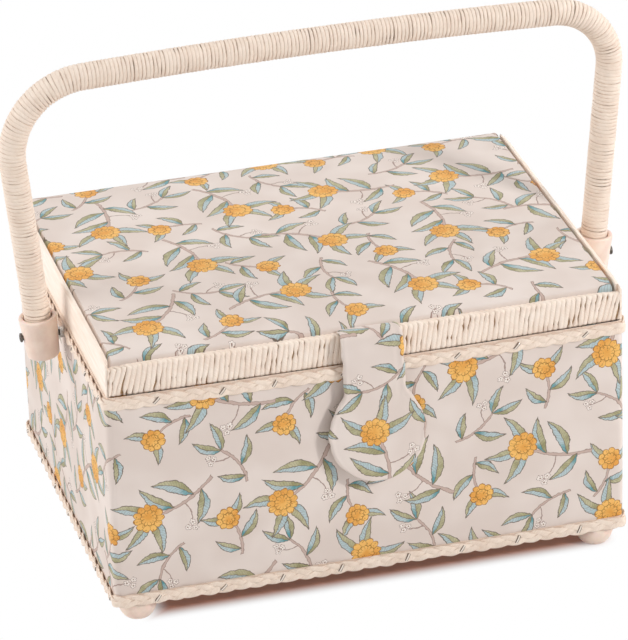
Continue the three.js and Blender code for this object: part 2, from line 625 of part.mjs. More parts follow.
// The tab's outline in front view: a straight neck flaring into an oval tongue, leaning as it hangs
function tabOutline() {
  const neck = TAB_NECK_WIDTH / 2;
  const discX = TAB_DISC_WIDTH / 2;
  const discZ = TAB_DISC_HEIGHT / 2;
  const flareEnd = THREE.MathUtils.degToRad(TAB_FLARE_END);
  const endX = -discX * Math.cos(flareEnd);
  const endZ = tabDiscZ + discZ * Math.sin(flareEnd);
  const slope = (discZ * Math.cos(flareEnd)) / (-discX * Math.sin(flareEnd));
  const cornerZ = endZ + slope * (endX - neck);
  const flareZ = cornerZ + (cornerZ - endZ) + TAB_FLARE_LENGTH;
  const outline = new THREE.Shape();
  outline.moveTo(neck, lidTop);
  outline.lineTo(-neck, lidTop);
  outline.lineTo(-neck, flareZ);
  outline.quadraticCurveTo(-neck, cornerZ, -endX, endZ);
  outline.absellipse(0, tabDiscZ, discX, discZ, flareEnd, 3 * Math.PI - flareEnd);
  outline.quadraticCurveTo(neck, cornerZ, neck, flareZ);
  const leaning = outline.getPoints(TAB_OUTLINE_STEPS).map(
    ({ x, y }) => new THREE.Vector2(TAB_X + x + TAB_LEAN * (lidTop - y), y));
  return new THREE.Shape(leaning);
}

// Closing tab: padded printed face, plain lining and the socket of the press stud
function addTab(group, bodyGroup) {
  const outline = tabOutline();
  const liningFront = tabBackY - TAB_LINING_THICKNESS;
  const face = carriedAlongY(outline, tabFrontY + TAB_EDGE_ROUND, liningFront - TAB_EDGE_ROUND, {
    bevelEnabled: true,
    bevelThickness: TAB_EDGE_ROUND,
    bevelSize: TAB_EDGE_ROUND,
    bevelOffset: -TAB_EDGE_ROUND,
    bevelSegments: TAB_EDGE_STEPS,
  });
  piece(group, 'tab_face', face, printedCotton);
  piece(group, 'tab_lining', carriedAlongY(outline, liningFront, tabBackY), plainCotton);

  const postRoom = STUD_POST_RADIUS + STUD_PLAY;
  const socket = turned([
    [postRoom, 0], [SOCKET_RADIUS, 0], [SOCKET_RADIUS, SOCKET_THICKNESS], [postRoom, SOCKET_THICKNESS],
    [postRoom, 0],
  ]).rotateX(-Math.PI / 2);
  piece(group, 'snap_socket', socket, steel, [tabDiscX, tabBackY, tabDiscZ]);

  const postEnd = -tabBackY - halfDepth - CLEARANCE;
  const stud = turned([
    [0, 0], [STUD_FLANGE_RADIUS, 0], [STUD_FLANGE_RADIUS, STUD_FLANGE_THICKNESS],
    [STUD_POST_RADIUS, STUD_FLANGE_THICKNESS], [STUD_POST_RADIUS, postEnd], [0, postEnd],
  ]).rotateX(Math.PI / 2);
  piece(bodyGroup, 'snap_stud', stud, steel, [tabDiscX, -halfDepth, tabDiscZ]);
}

// The handle's centre line: a bar bowed a little upwards, round corners, straight legs leaning outwards
class HandleLine extends THREE.Curve {
  constructor(overrun) {
    super();
    this.left = HandleLine.half(LEFT_CORNER_RADIUS);
    this.right = HandleLine.half(RIGHT_CORNER_RADIUS);
    this.overrun = overrun;
  }

  // One half, from the middle of the bar to the pivot
  static half(corner) {
    const bow = THREE.MathUtils.degToRad(BAR_BOW);
    const rise = Math.tan(bow / 2);
    const spread = pivotX - corner * Math.cos(splay);
    const leg = (HANDLE_HEIGHT - corner - corner * Math.sin(splay) - rise * spread)
      / (Math.cos(splay) + rise * Math.sin(splay));
    const barRadius = corner + (spread + leg * Math.sin(splay)) / Math.sin(bow);
    const barLength = barRadius * bow;
    const bendLength = corner * (Math.PI / 2 + splay - bow);
    return {
      corner,
      bow,
      barRadius,
      barLength,
      bendLength,
      length: barLength + bendLength + leg,
      cornerX: (barRadius - corner) * Math.sin(bow),
      cornerZ: HANDLE_HEIGHT - barRadius + (barRadius - corner) * Math.cos(bow),
    };
  }

  // Point and outward direction at a distance from the middle of the bar, right side positive
  frame(distance) {
    const side = Math.sign(distance) || 1;
    const half = side < 0 ? this.left : this.right;
    const along = Math.abs(distance);
    let angle;
    let x;
    let z;
    if (along < half.barLength) {
      angle = along / half.barRadius;
      x = half.barRadius * Math.sin(angle);
      z = HANDLE_HEIGHT - half.barRadius * (1 - Math.cos(angle));
    } else {
      const turn = Math.min(along - half.barLength, half.bendLength) / half.corner;
      const down = Math.max(along - half.barLength - half.bendLength, 0);
      angle = half.bow + turn;
      x = half.cornerX + half.corner * Math.sin(angle) + down * Math.cos(angle);
      z = half.cornerZ + half.corner * Math.cos(angle) - down * Math.sin(angle);
    }
    return {
      point: new THREE.Vector3(side * x, 0, z),
      outward: new THREE.Vector3(side * Math.sin(angle), 0, Math.cos(angle)),
    };
  }

  getPoint(t, target = new THREE.Vector3()) {
    const from = -this.left.length - this.overrun;
    const to = this.right.length + this.overrun;
    return target.copy(this.frame(THREE.MathUtils.lerp(from, to, t)).point);
  }
}

// A sleeve of close-wound cord: its ridge climbs as one unbroken spiral, two rows to a turn, round a plain bore
function woundSleeve(line, from, to) {
  const around = WRAP_AROUND;
  const turns = Math.round((to - from) / WRAP_PITCH) - 1;
  const pitch = (to - from) / (turns + 1);
  const rows = 2 * turns;
  const boreRings = Math.ceil(turns / WRAP_BORE_TURNS);
  const points = [];
  const faces = [];
  const addPoint = (distance, step, radius) => {
    const { point, outward } = line.frame(distance);
    const angle = (-2 * Math.PI * step) / around;
    points.push(
      point.x + radius * Math.cos(angle) * outward.x,
      radius * Math.sin(angle),
      point.z + radius * Math.cos(angle) * outward.z,
    );
    return points.length / 3 - 1;
  };
  const spiral = [];
  for (let row = 0; row <= rows + 2; row += 1) {
    spiral.push([]);
    const steps = row <= rows ? around : 1;
    const radius = row % 2 ? wrapCrestRadius : wrapGrooveRadius;
    for (let step = 0; step < steps; step += 1) {
      spiral[row].push(addPoint(from + pitch * (row / 2 + step / around), step, radius));
    }
  }
  const onSpiral = (row, step) => (step === around ? spiral[row + 2][0] : spiral[row][step]);
  for (let row = 0; row < rows; row += 1) {
    for (let step = 0; step < around; step += 1) {
      const a = onSpiral(row, step);
      const b = onSpiral(row, step + 1);
      const c = onSpiral(row + 1, step + 1);
      const d = onSpiral(row + 1, step);
      faces.push(a, b, c, a, c, d);
    }
  }
  const bore = [];
  for (let index = 0; index <= boreRings; index += 1) {
    bore.push([]);
    for (let step = 0; step < around; step += 1) {
      const start = from + (pitch * step) / around;
      bore[index].push(addPoint(start + (to - from - pitch) * (index / boreRings), step, wrapBoreRadius));
    }
  }
  for (let index = 0; index < boreRings; index += 1) {
    for (let step = 0; step < around; step += 1) {
      const next = (step + 1) % around;
      const [a, b] = [bore[index][step], bore[index][next]];
      const [d, c] = [bore[index + 1][step], bore[index + 1][next]];
      faces.push(a, c, b, a, d, c);
    }
  }
  for (let step = 0; step < around; step += 1) {
    const next = (step + 1) % around;
    faces.push(bore[0][step], bore[0][next], onSpiral(0, step + 1));
    faces.push(bore[0][step], onSpiral(0, step + 1), onSpiral(0, step));
    faces.push(bore[boreRings][step], onSpiral(rows, step), onSpiral(rows, step + 1));
    faces.push(bore[boreRings][step], onSpiral(rows, step + 1), bore[boreRings][next]);
  }
  for (const row of [0, 1]) {
    faces.push(bore[0][0], spiral[row][0], spiral[row + 1][0]);
    faces.push(bore[boreRings][0], spiral[rows + row + 1][0], spiral[rows + row][0]);
  }
  const geometry = new THREE.BufferGeometry();
  geometry.setAttribute('position', new THREE.Float32BufferAttribute(points, 3));
  geometry.setIndex(faces);
  geometry.computeVertexNormals();
  return geometry;
}

// Handle, in its own group at the pivots
function addHandle(group) {
  const line = new HandleLine(FERRULE_BELOW - FERRULE_FLOOR - CLEARANCE);
  const play = PIVOT_SCREW_RADIUS + PIVOT_PLAY;
  const section = new THREE.Shape().absarc(0, 0, CORE_RADIUS, 0, 2 * Math.PI);
  const rod = new THREE.ExtrudeGeometry(section,
    { steps: CORE_STEPS, curveSegments: CORNER_STEPS, extrudePath: line });
  const crossHole = rodX(play, -2 * pivotX, 2 * pivotX, 0, 0);
  piece(group, 'handle_core', cut(rod, [crossHole]), board);

  const wrap = woundSleeve(line, WRAP_START - line.left.length, line.right.length - WRAP_START);
  piece(group, 'handle_wrap', wrap, paperCord);

  const wrapRoom = wrapCrestRadius + CLEARANCE;
  const coreRoom = CORE_RADIUS + CLEARANCE;
  const wrapSeat = WRAP_START - CLEARANCE;
  const coreSeat = FERRULE_FLOOR - FERRULE_BELOW;
  const cup = turned([
    [0, -FERRULE_BELOW], [ferruleBottomRadius - FERRULE_CHAMFER, -FERRULE_BELOW],
    [ferruleBottomRadius, FERRULE_CHAMFER - FERRULE_BELOW], [ferruleTopRadius, FERRULE_ABOVE - FERRULE_CHAMFER],
    [ferruleTopRadius - FERRULE_LIP_EASE, FERRULE_ABOVE], [wrapRoom, FERRULE_ABOVE],
    [wrapRoom, wrapSeat], [coreRoom, wrapSeat], [coreRoom, coreSeat], [0, coreSeat],
  ], FERRULE_ROUND);
  for (const [label, side] of SIDES) {
    const tiltedHole = rodX(play, -pivotX, pivotX, 0, 0).rotateY(-side * splay);
    const ferrule = piece(group, `ferrule_${label}`, cut(cup, [tiltedHole]), peachPlastic,
      [side * pivotX, 0, 0]);
    ferrule.rotation.y = side * splay;
  }
}

// Assembly: the lid, tab and handle have groups of their own
const sewingBox = new THREE.Group();
const body = new THREE.Group();
const lid = new THREE.Group();
const tab = new THREE.Group();
const handle = new THREE.Group();
handle.position.set(0, PIVOT_Y, pivotZ);
addCarcass(body);
addBraids(body);
addLining(body);
addFeet(body);
addPivots(body);
addHinges(body, lid);
addLid(lid);
addTab(tab, body);
addHandle(handle);
lid.add(tab);
sewingBox.add(body, lid, handle);
sewingBox.position.y = -(tabFrontY + hingeY + KNUCKLE_RADIUS) / 2; // middle of the whole depth at y = 0

export default sewingBox;
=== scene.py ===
import math

import bmesh
import bpy
import numpy as np
from mathutils import Matrix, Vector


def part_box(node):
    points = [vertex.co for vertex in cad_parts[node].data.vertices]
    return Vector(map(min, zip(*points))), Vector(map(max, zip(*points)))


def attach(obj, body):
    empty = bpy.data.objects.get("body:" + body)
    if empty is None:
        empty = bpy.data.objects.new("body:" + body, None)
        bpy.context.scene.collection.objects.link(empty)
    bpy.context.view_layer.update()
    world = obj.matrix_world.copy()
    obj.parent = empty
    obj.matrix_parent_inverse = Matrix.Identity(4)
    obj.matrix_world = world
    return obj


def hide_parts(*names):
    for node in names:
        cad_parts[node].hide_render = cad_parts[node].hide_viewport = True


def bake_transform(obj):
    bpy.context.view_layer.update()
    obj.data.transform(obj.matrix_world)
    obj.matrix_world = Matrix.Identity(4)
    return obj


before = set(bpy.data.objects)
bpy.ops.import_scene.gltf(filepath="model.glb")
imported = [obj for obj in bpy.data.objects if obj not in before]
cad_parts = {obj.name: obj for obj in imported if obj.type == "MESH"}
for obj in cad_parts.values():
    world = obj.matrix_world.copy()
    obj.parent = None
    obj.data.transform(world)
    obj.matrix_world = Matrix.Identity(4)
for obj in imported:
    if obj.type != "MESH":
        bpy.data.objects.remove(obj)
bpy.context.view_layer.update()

MM = 0.001  # the script works in millimetres, and each mesh is written in metres


# Carcass boards: five panels of brown fibreboard glued into an open box, and a sixth inside the lid.
# Cloth, lining and paper cover them, so that they show only underneath.
class Wire:
    """A socket of a node tree. Arithmetic on it adds Math nodes, and node() adds any other node."""

    def __init__(self, tree, socket=None):
        self.tree = tree
        self.socket = socket

    def node(self, kind, settings=None, sockets=None, out=0):
        """Adds a node: its settings first, then a number, colour or wire for each named socket."""
        made = self.tree.nodes.new("ShaderNode" + kind)
        for name, value in (settings or {}).items():
            setattr(made, name, value)
        for key, value in (sockets or {}).items():
            if isinstance(value, Wire):
                self.tree.links.new(value.socket, made.inputs[key])
            else:
                made.inputs[key].default_value = value
        return Wire(self.tree, made.outputs[out])

    def output(self, key):
        """Another output of the same node."""
        return Wire(self.tree, self.socket.node.outputs[key])

    def math(self, operation, *others):
        return self.node("Math", {"operation": operation}, dict(enumerate((self, *others))))

    def __add__(self, other):
        return self.math("ADD", other)

    def __sub__(self, other):
        return self.math("SUBTRACT", other)

    def __rsub__(self, other):
        return self.node("Math", {"operation": "SUBTRACT"}, {0: other, 1: self})

    def __mul__(self, other):
        return self.math("MULTIPLY", other)

    def __pow__(self, other):
        return self.math("POWER", other)

    def __abs__(self):
        return self.math("ABSOLUTE")

    __radd__ = __add__
    __rmul__ = __mul__

    def sine(self):
        return self.math("SINE")

    def between(self, low, high):
        """0 below low, 1 above high, and a smooth step from one to the other."""
        limits = {"Value": self, "From Min": low, "From Max": high}
        return self.node("MapRange", {"interpolation_type": "SMOOTHSTEP"}, limits)

    def tint(self, first, second):
        """A colour that goes from the first to the second as this value goes from 0 to 1."""
        return self.node("Mix", {"data_type": "RGBA"}, {0: self, 6: first, 7: second}, out=2)

    def over(self, mask, colour):
        """This colour with another laid over it where the mask is 1."""
        return mask.tint(self, colour)

    def vector(self, operation, *others, out=0):
        sockets = dict(enumerate((self, *others)))
        return self.node("VectorMath", {"operation": operation}, sockets, out)

    def length(self):
        return self.vector("LENGTH", out=1)

    def xy(self):
        """The first two numbers of a vector."""
        x = self.node("SeparateXYZ", None, {0: self})
        return x, x.output(1)

    def noise(self, scale, detail=2.0):
        """Clouds between 0 and 1 at this place, about as many to a millimetre as the scale says."""
        return self.node("TexNoise", None, {"Vector": self, "Scale": scale, "Detail": detail})

    def into(self, shader, socket):
        self.tree.links.new(self.socket, shader.inputs[socket])

    def bump(self, shader, distance, strength=1.0):
        """Raises the surface by this value times the distance, in millimetres."""
        sockets = {"Height": self, "Distance": distance * MM, "Strength": strength}
        self.node("Bump", None, sockets).into(shader, "Normal")


def srgb(red, green, blue):
    """A colour as it looks on screen, 0 to 255, in the linear values that shaders take."""
    share = np.array([red, green, blue]) / 255
    linear = np.where(share <= 0.04045, share / 12.92, ((share + 0.055) / 1.055) ** 2.4)
    return (*linear.tolist(), 1.0)


def new_finish(name, roughness, **sockets):
    """A material with one shader: gives the material, the shader and a wire to build on."""
    made = bpy.data.materials.new(name)
    made.use_nodes = True
    shader = made.node_tree.nodes["Principled BSDF"]
    shader.inputs["Roughness"].default_value = roughness
    for socket, value in sockets.items():
        shader.inputs[socket.replace("_", " ")].default_value = value
    return made, shader, Wire(made.node_tree)


def object_place(wire):
    """Object coordinates, in millimetres."""
    return wire.node("TexCoord", out="Object").vector("MULTIPLY", (1 / MM, 1 / MM, 1 / MM))


def fibreboard():
    """Pressed fibre: a brown ground with pale and dark flecks."""
    made, shader, wire = new_finish("fibreboard", 0.85)
    fleck = object_place(wire).noise(1.6, 4)
    fleck.between(0.3, 0.7).tint(srgb(150, 116, 80), srgb(190, 156, 116)).into(shader, "Base Color")
    fleck.bump(shader, 0.15)
    return made


board_finish = fibreboard()


def dress(node, finish):
    """Gives a CAD node its finish."""
    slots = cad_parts[node].data.materials
    slots.clear()
    slots.append(finish)


for board in ("base", "front", "back", "left", "right", "lid"):
    dress(f"{board}_board", board_finish)


# Printed cotton cover: one length of cloth glued round the walls, seamed at the middle of the back,
# and turned over the rim. A tossed print of golden flower heads, leafy sprigs and small blossoms.
def box_of(*nodes):
    """Lowest and highest corner of one or more CAD nodes, in millimetres."""
    corners = np.array([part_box(node) for node in nodes]) / MM
    return corners[:, 0].min(axis=0), corners[:, 1].max(axis=0)


SAME_POINT = 1e-7  # metres between points that are merged into one


def add_piece(name, points, finish, uv=None, around=False, along=False, crease=40):
    """A mesh of quads over a grid of points, shaped (copies, rows, columns, 3) or (rows, columns, 3).

    around joins each row's last point to its first, along joins the last row to the first. uv is a grid
    of flat places with one more row or column where the grid closes. Coinciding points are merged, faces
    are turned outwards, and edges sharper than the crease, in degrees, stay sharp.
    """
    grid = points.reshape((-1,) + points.shape[-3:])
    copies, rows, columns = grid.shape[:3]
    row = np.arange(rows - (not along))[:, None]
    column = np.arange(columns - (not around))[None, :]

    def corners(height, width):
        right, up = (column + 1) % width, (row + 1) % height
        quad = [row * width + column, row * width + right, up * width + right, up * width + column]
        one = np.stack(quad, axis=-1).reshape(-1, 4)
        return (one + (np.arange(copies) * height * width)[:, None, None]).reshape(-1, 4)

    quads = corners(rows, columns)
    flat = grid.reshape(-1, 3)
    a, b, c, d = (flat[quads[:, k]] for k in range(4))
    inside_out = (a * (np.cross(b, c) + np.cross(c, d))).sum() < 0
    mesh = bpy.data.meshes.new(name)
    mesh.from_pydata(flat * MM, [], (quads[:, ::-1] if inside_out else quads).tolist())
    if uv is not None:
        spots = uv.reshape(-1, 2)[corners(uv.shape[-3], uv.shape[-2])]
        spots = spots[:, ::-1] if inside_out else spots
        mesh.uv_layers.new(name="flat").data.foreach_set("uv", spots.ravel())
    merged = bmesh.new()
    merged.from_mesh(mesh)
    bmesh.ops.remove_doubles(merged, verts=merged.verts, dist=SAME_POINT)
    merged.to_mesh(mesh)
    merged.free()
    mesh.shade_smooth()
    mesh.set_sharp_from_angle(angle=math.radians(crease))
    mesh.materials.append(finish)
    piece = bpy.data.objects.new(name, mesh)
    bpy.context.scene.collection.objects.link(piece)
    return piece


def places(*parts):
    """Arrays stretched to one shape and set side by side, as the coordinates of points."""
    return np.stack(np.broadcast_arrays(*parts), axis=-1)


def unit(arrows):
    """The same directions, each of length 1."""
    return arrows / np.linalg.norm(arrows, axis=-1, keepdims=True)


def clamped(values):
    """Values kept between 0 and 1."""
    return np.clip(values, 0, 1)


def loops(half_x, half_y, radius, steps_x, steps_y, corner_steps):
    """Points round rounded rectangles, one for each entry of half_x: (rows, entries, 2).

    They start at the middle of the back and go round by the left side: straight runs between quarter
    arcs.
    """
    half_x, half_y, radius = np.broadcast_arrays(half_x, half_y, radius)
    arcs = []
    for quarter, (side_x, side_y) in enumerate([(-1, 1), (-1, -1), (1, -1), (1, 1)]):
        angle = (1 + quarter + np.linspace(0, 1, corner_steps + 1)[:, None]) * math.pi / 2
        arcs.append(places(side_x * (half_x - radius) + radius * np.cos(angle),
                           side_y * (half_y - radius) + radius * np.sin(angle)))
    back = places(0 * half_x, half_y)
    share_x, share_y = (np.linspace(0, 1, steps + 1)[1:-1, None, None] for steps in (steps_x, steps_y))
    half_share = np.linspace(0, 1, steps_x // 2 + 1)[:-1, None, None]
    runs = [back + half_share * (arcs[0][0] - back), arcs[0]]
    for k, share in ((1, share_y), (2, share_x), (3, share_y)):
        runs += [arcs[k - 1][-1] + share * (arcs[k][0] - arcs[k - 1][-1]), arcs[k]]
    runs.append(arcs[3][-1] + half_share[1:] * (back - arcs[3][-1]))
    return np.concatenate(runs)


def run_length(points, closed=False):
    """Distance along a row of points, from its first, with one more entry where it closes."""
    chain = np.concatenate([points, points[:1]]) if closed else points
    return np.concatenate([[0], np.linalg.norm(np.diff(chain, axis=0), axis=1).cumsum()])


def ripple(*phases):
    """A gentle unevenness between -1 and 1.

    It is a product over the phases: a sine of each, and a weaker one of an odd share of it.
    """
    made = 1.0
    for phase in phases:
        made = made * (0.6 * np.sin(phase) + 0.4 * np.sin(0.37 * phase + 1.3))
    return made


GROUND = srgb(222, 207, 198)
GROUND_LIGHT = srgb(231, 218, 210)
LINE = srgb(122, 109, 97)
TEAL = srgb(86, 154, 161)
PALE_BLUE = srgb(184, 201, 204)
OLIVE = srgb(154, 150, 107)
PALE_OLIVE = srgb(196, 190, 156)
TWIG = srgb(198, 174, 163)
TWIG_LINE = srgb(156, 130, 120)
OCHRE = srgb(241, 190, 108)
DEEP_OCHRE = srgb(228, 162, 78)
OCHRE_LINE = srgb(166, 112, 54)
BLOSSOM = srgb(240, 230, 222)
LINE_WIDTH = 0.32
EDGE_BLUR = 0.09
TWIG_EDGE = 0.16  # dark line down each side of a twig
RIB_SPACING = 1.5  # of the side veins along a leaf
RIB_SLANT = 3.2  # radians by which a vein falls back for each millimetre from the middle
INK = 0.34  # strength of the veins, and of the patches of ink on a leaf


def inked(cloth, depth, line, line_width, fill, blur=EDGE_BLUR):
    """A shape drawn over the cloth: its outline, and a fill inside the line's width.

    depth is the distance inside the shape's edge, in millimetres.
    """
    cloth = cloth.over(depth.between(-blur, blur), line)
    return cloth.over(depth.between(line_width, line_width + 2 * blur), fill)


def bent_line(spot, base, angle, length, bend):
    """Coordinates on an arched line: share of its length, arch (0 at both ends) and distance aside."""
    turn = {"Location": (*base, 0), "Rotation": (0, 0, angle), "Scale": (length, 1, 1)}
    along, aside = spot.node("Mapping", {"vector_type": "TEXTURE"}, {"Vector": spot, **turn}).xy()
    arch = along * (1 - along)
    return along, arch, aside - arch * (4 * bend)


def draw_twig(cloth, spot, base, angle, length, bend, width):
    """A brown stem of even width with darker edges."""
    _, arch, side = bent_line(spot, base, angle, length, bend)
    depth = (width / 2 - abs(side)).math("MINIMUM", arch * length)
    return inked(cloth, depth, TWIG_LINE, TWIG_EDGE, TWIG)


def draw_leaf(cloth, spot, wash, base, angle, length, width, bend):
    """A slender leaf in a thin pen line, olive on one side of its vein and blue on the other.

    Its width is a skewed parabola along the leaf. The blue is teal at the foot and fades, slanting side
    veins are the crests of a sine along the leaf, and the ink lies in patches over both.
    """
    along, arch, side = bent_line(spot, base, angle, length, bend)
    taper = (2.6 - 1.2 * along).math("MAXIMUM", 0.5)
    depth = arch * taper * width - abs(side)
    blue = (along * 1.5 + wash).between(0.6, 1.15).tint(TEAL, PALE_BLUE)
    olive = (along * 0.5 + wash).between(0.4, 1.0).tint(OLIVE, PALE_OLIVE)
    fill = olive.over(side.between(-EDGE_BLUR, EDGE_BLUR), blue)
    rib = (along * (2 * math.pi * length / RIB_SPACING) - abs(side) * RIB_SLANT).sine()
    fill = fill.over(rib.between(0.4, 1.0) * INK, LINE)
    fill = fill.over(spot.noise(0.9, 3.0).between(0.5, 0.75) * INK, LINE)
    fill = fill.over((LINE_WIDTH / 2 - abs(side)).between(-EDGE_BLUR, EDGE_BLUR), LINE)
    return inked(cloth, depth, LINE, LINE_WIDTH, fill)


def about(spot, centre):
    """Distance from a centre, and the angle round it."""
    away = spot.vector("SUBTRACT", (*centre, 0))
    x, y = away.xy()
    return away.length(), y.math("ARCTAN2", x)


HEART = 0.56  # share of a flower head that its inner row of petals takes up
SCALLOP = 0.2  # share of a row's radius by which its petals stand out


def draw_flower(cloth, spot, wash, centre, radius, petals):
    """A round golden head: an outer and an inner row of petals, deeper on one side, dotted all over.

    The edge of a row is a circle plus the root of a folded sine, with seams where that sine is near 0.
    """
    reach, turn = about(spot, centre)
    dots = spot.node("TexVoronoi", None, {"Vector": spot, "Scale": 0.8})
    low_side = turn.sine() * reach * (0.3 / radius)
    for size, shift in ((radius, 0.0), (radius * HEART, math.pi / 2)):
        petal = abs((turn * (petals / 2) + shift).sine())
        depth = petal ** 0.5 * (SCALLOP * size) + (1 - SCALLOP) * size - reach
        seam = (0.3 - petal * reach * (2 / petals) * 1.4).between(0, 0.2)
        fill = (wash + low_side + reach * (0.4 / size)).between(0.45, 1.05).tint(DEEP_OCHRE, OCHRE)
        fill = fill.over(seam * (reach - 0.45 * size).between(0, 0.6) * 0.7, OCHRE_LINE)
        fill = fill.over((0.3 - dots).between(0, 0.12) * 0.8, OCHRE_LINE)
        cloth = inked(cloth, depth, OCHRE_LINE, LINE_WIDTH, fill)
    return cloth


POSY = 3  # blossoms in a posy
POSY_RING = 1.15  # radius of the ring that they stand on, in sizes of a blossom
POSY_LINE = 0.2
POSY_BLUR = 0.06
POSY_HEART = 0.24  # radius of the dot in a blossom, in sizes of a blossom


def draw_posy(cloth, spot, centre, size):
    """A posy of tiny pale blossoms in a thin line: one of five petals, repeated by folding the angle."""
    reach, turn = about(spot, centre)
    folded = ((turn * (POSY / (2 * math.pi)) + 0.3).math("FRACT") - 0.5) * (2 * math.pi / POSY)
    x = reach * folded.math("COSINE") - POSY_RING * size
    y = reach * folded.sine()
    near = (x * x + y * y) ** 0.5
    petal = abs((y.math("ARCTAN2", x) * 2.5).sine())
    depth = (petal * 0.45 + 0.55) * size - near
    cloth = inked(cloth, depth, TWIG_LINE, POSY_LINE, BLOSSOM, POSY_BLUR)
    return cloth.over((POSY_HEART * size - near).between(-POSY_BLUR, POSY_BLUR), TWIG_LINE)


NET_WIDTH = 64.0  # a net of even triangles: the height of two rows follows from the width
NET_HEIGHT = NET_WIDTH * math.sqrt(3)


def sprig_spot(place, shift):
    """Place inside the nearest cell of the half-drop net, in millimetres.

    Each cell is turned by its own chance.
    """
    net = (NET_WIDTH, NET_HEIGHT, 0)
    found = []
    for half in (0.0, 0.5):
        start = tuple(s / n + half for s, n in zip(shift, net))
        cells = place.vector("MULTIPLY_ADD", (1 / NET_WIDTH, 1 / NET_HEIGHT, 0), (*start, 0))
        local = cells.vector("FRACTION").vector("MULTIPLY_ADD", net, tuple(-n / 2 for n in net))
        count = cells.vector("FLOOR").vector("ADD", (half, half, shift[1]))
        found.append((local, count))
    first, second = found
    nearer = first[0].length().math("LESS_THAN", second[0].length())
    local, count = (nearer.node("Mix", {"data_type": "VECTOR"}, {0: nearer, 4: b, 5: a}, out=1)
                    for a, b in zip(first, second))
    chance = count.node("TexWhiteNoise", {"noise_dimensions": "3D"}, {"Vector": count})
    turn = {"Vector": local, "Angle": chance * (2 * math.pi)}
    return local.node("VectorRotate", {"rotation_type": "Z_AXIS"}, turn)


def on_twig(base, angle, length, bend, share):
    """Point of an arched line at a share of its length."""
    x, y = share * length, 4 * bend * share * (1 - share)
    return (base[0] + x * math.cos(angle) - y * math.sin(angle),
            base[1] + x * math.sin(angle) + y * math.cos(angle))


STALK_WIDTH = 0.6
STALK_BEND = 0.12  # share of its length


def draw_sprig(cloth, spot, wash, twig, leaves, flower=None, blossoms=()):
    """A twig with leaves set along it, blossoms on stalks, and perhaps a flower head at its end."""
    line, angle = twig[:4], twig[1]
    for share, spread, stalk, size in blossoms:
        foot = on_twig(*line, share)
        tip = angle + math.radians(spread)
        cloth = draw_twig(cloth, spot, foot, tip, stalk, stalk * STALK_BEND, STALK_WIDTH)
        end = (foot[0] + stalk * math.cos(tip), foot[1] + stalk * math.sin(tip))
        cloth = draw_posy(cloth, spot, end, size)
    cloth = draw_twig(cloth, spot, *twig)
    for share, spread, *leaf in leaves:
        cloth = draw_leaf(cloth, spot, wash, on_twig(*line, share), angle + math.radians(spread), *leaf)
    if flower:
        cloth = draw_flower(cloth, spot, wash, on_twig(*line, 1.0), *flower)
    return cloth


# Sprigs, in millimetres about the middle of their cell. The twig: foot, direction, length, bend, width.
# Each leaf: share along the twig, degrees from it, length, width, bend. Each blossom: share, degrees,
# stalk, size. The flower head: radius, petals.
FLOWER_SPRIG = {
    "twig": ((-23, -13), math.radians(34), 37, 3.5, 1.9),
    "leaves": [(0.2, 52, 20, 6.0, 2.2), (0.34, -50, 23, 6.6, -2.4), (0.64, -66, 22, 6.2, 2.2),
               (0.98, 74, 22, 6.4, 2.2), (0.98, -48, 21, 6.0, -2.2), (0.98, 22, 21, 5.6, 1.6)],
    "flower": (7.9, 11),
    "blossoms": [(0.5, 76, 14, 1.8)],
}
LEAF_SPRIG = {
    "twig": ((-16, -3), math.radians(8), 23, -2.5, 1.5),
    "leaves": [(0.14, 48, 15, 4.8, 1.6), (0.42, -46, 17, 5.2, -1.8), (0.98, 34, 16, 5.0, 1.6),
               (0.98, -14, 17, 5.0, -1.4)],
    "blossoms": [(0.74, 62, 10, 1.6)],
}
BUD_SPRIG = {
    "twig": ((-17, -3), math.radians(8), 22, -2.5, 1.5),
    "leaves": [(0.14, 48, 15, 4.8, 1.6), (0.42, -46, 17, 5.2, -1.8), (0.98, 66, 15, 4.8, 1.6),
               (0.98, -40, 15, 4.8, -1.4)],
    "flower": (6.2, 9),
}
SWAY, TREMOR = 1.5, 1.1  # of the printed lines, in long and in short waves


def flat_place(wire):
    """Place on a piece's own flat map: on the cloth, or along and round a strand."""
    return wire.node("TexCoord", out="UV")


def weave(flat, rate):
    """Crossed threads: the product of a sine along the cloth and one across it."""
    warp, weft = flat.xy()
    return (warp * rate).sine() * (weft * rate).sine()


def printed_cotton():
    """Plain-woven cotton with the sprigs printed on it, laid out on the flat cloth."""
    made, shader, wire = new_finish("printed_cotton", 0.88, Sheen_Weight=0.12, Specular_IOR_Level=0.25)
    flat = flat_place(wire)
    sway = flat.noise(0.16, 1.0).output(1)
    tremor = flat.noise(0.55, 1.0).output(1)
    place = sway.vector("MULTIPLY_ADD", (SWAY, SWAY, 0), flat)
    place = tremor.vector("MULTIPLY_ADD", (TREMOR, TREMOR, 0), place)
    wash = flat.noise(0.22, 3.0)
    cloth = flat.noise(0.03).between(0.35, 0.7).tint(GROUND, GROUND_LIGHT)
    hole = NET_HEIGHT / 3
    for shift, sprig in (((0, hole), LEAF_SPRIG), ((0, -hole), BUD_SPRIG), ((0, 0), FLOWER_SPRIG)):
        cloth = draw_sprig(cloth, sprig_spot(place, shift), wash, **sprig)
    cloth.into(shader, "Base Color")
    (weave(flat, 11.0) * 0.2 + flat.noise(0.5, 3.0)).bump(shader, 0.1, 0.5)
    return made


cover_low, cover_high = box_of("body_cover")
plan = (cover_low + cover_high)[:2] / 2
half_width, half_depth = (cover_high - cover_low)[:2] / 2
base_z, rim_z = cover_low[2], cover_high[2]
print_cotton = printed_cotton()

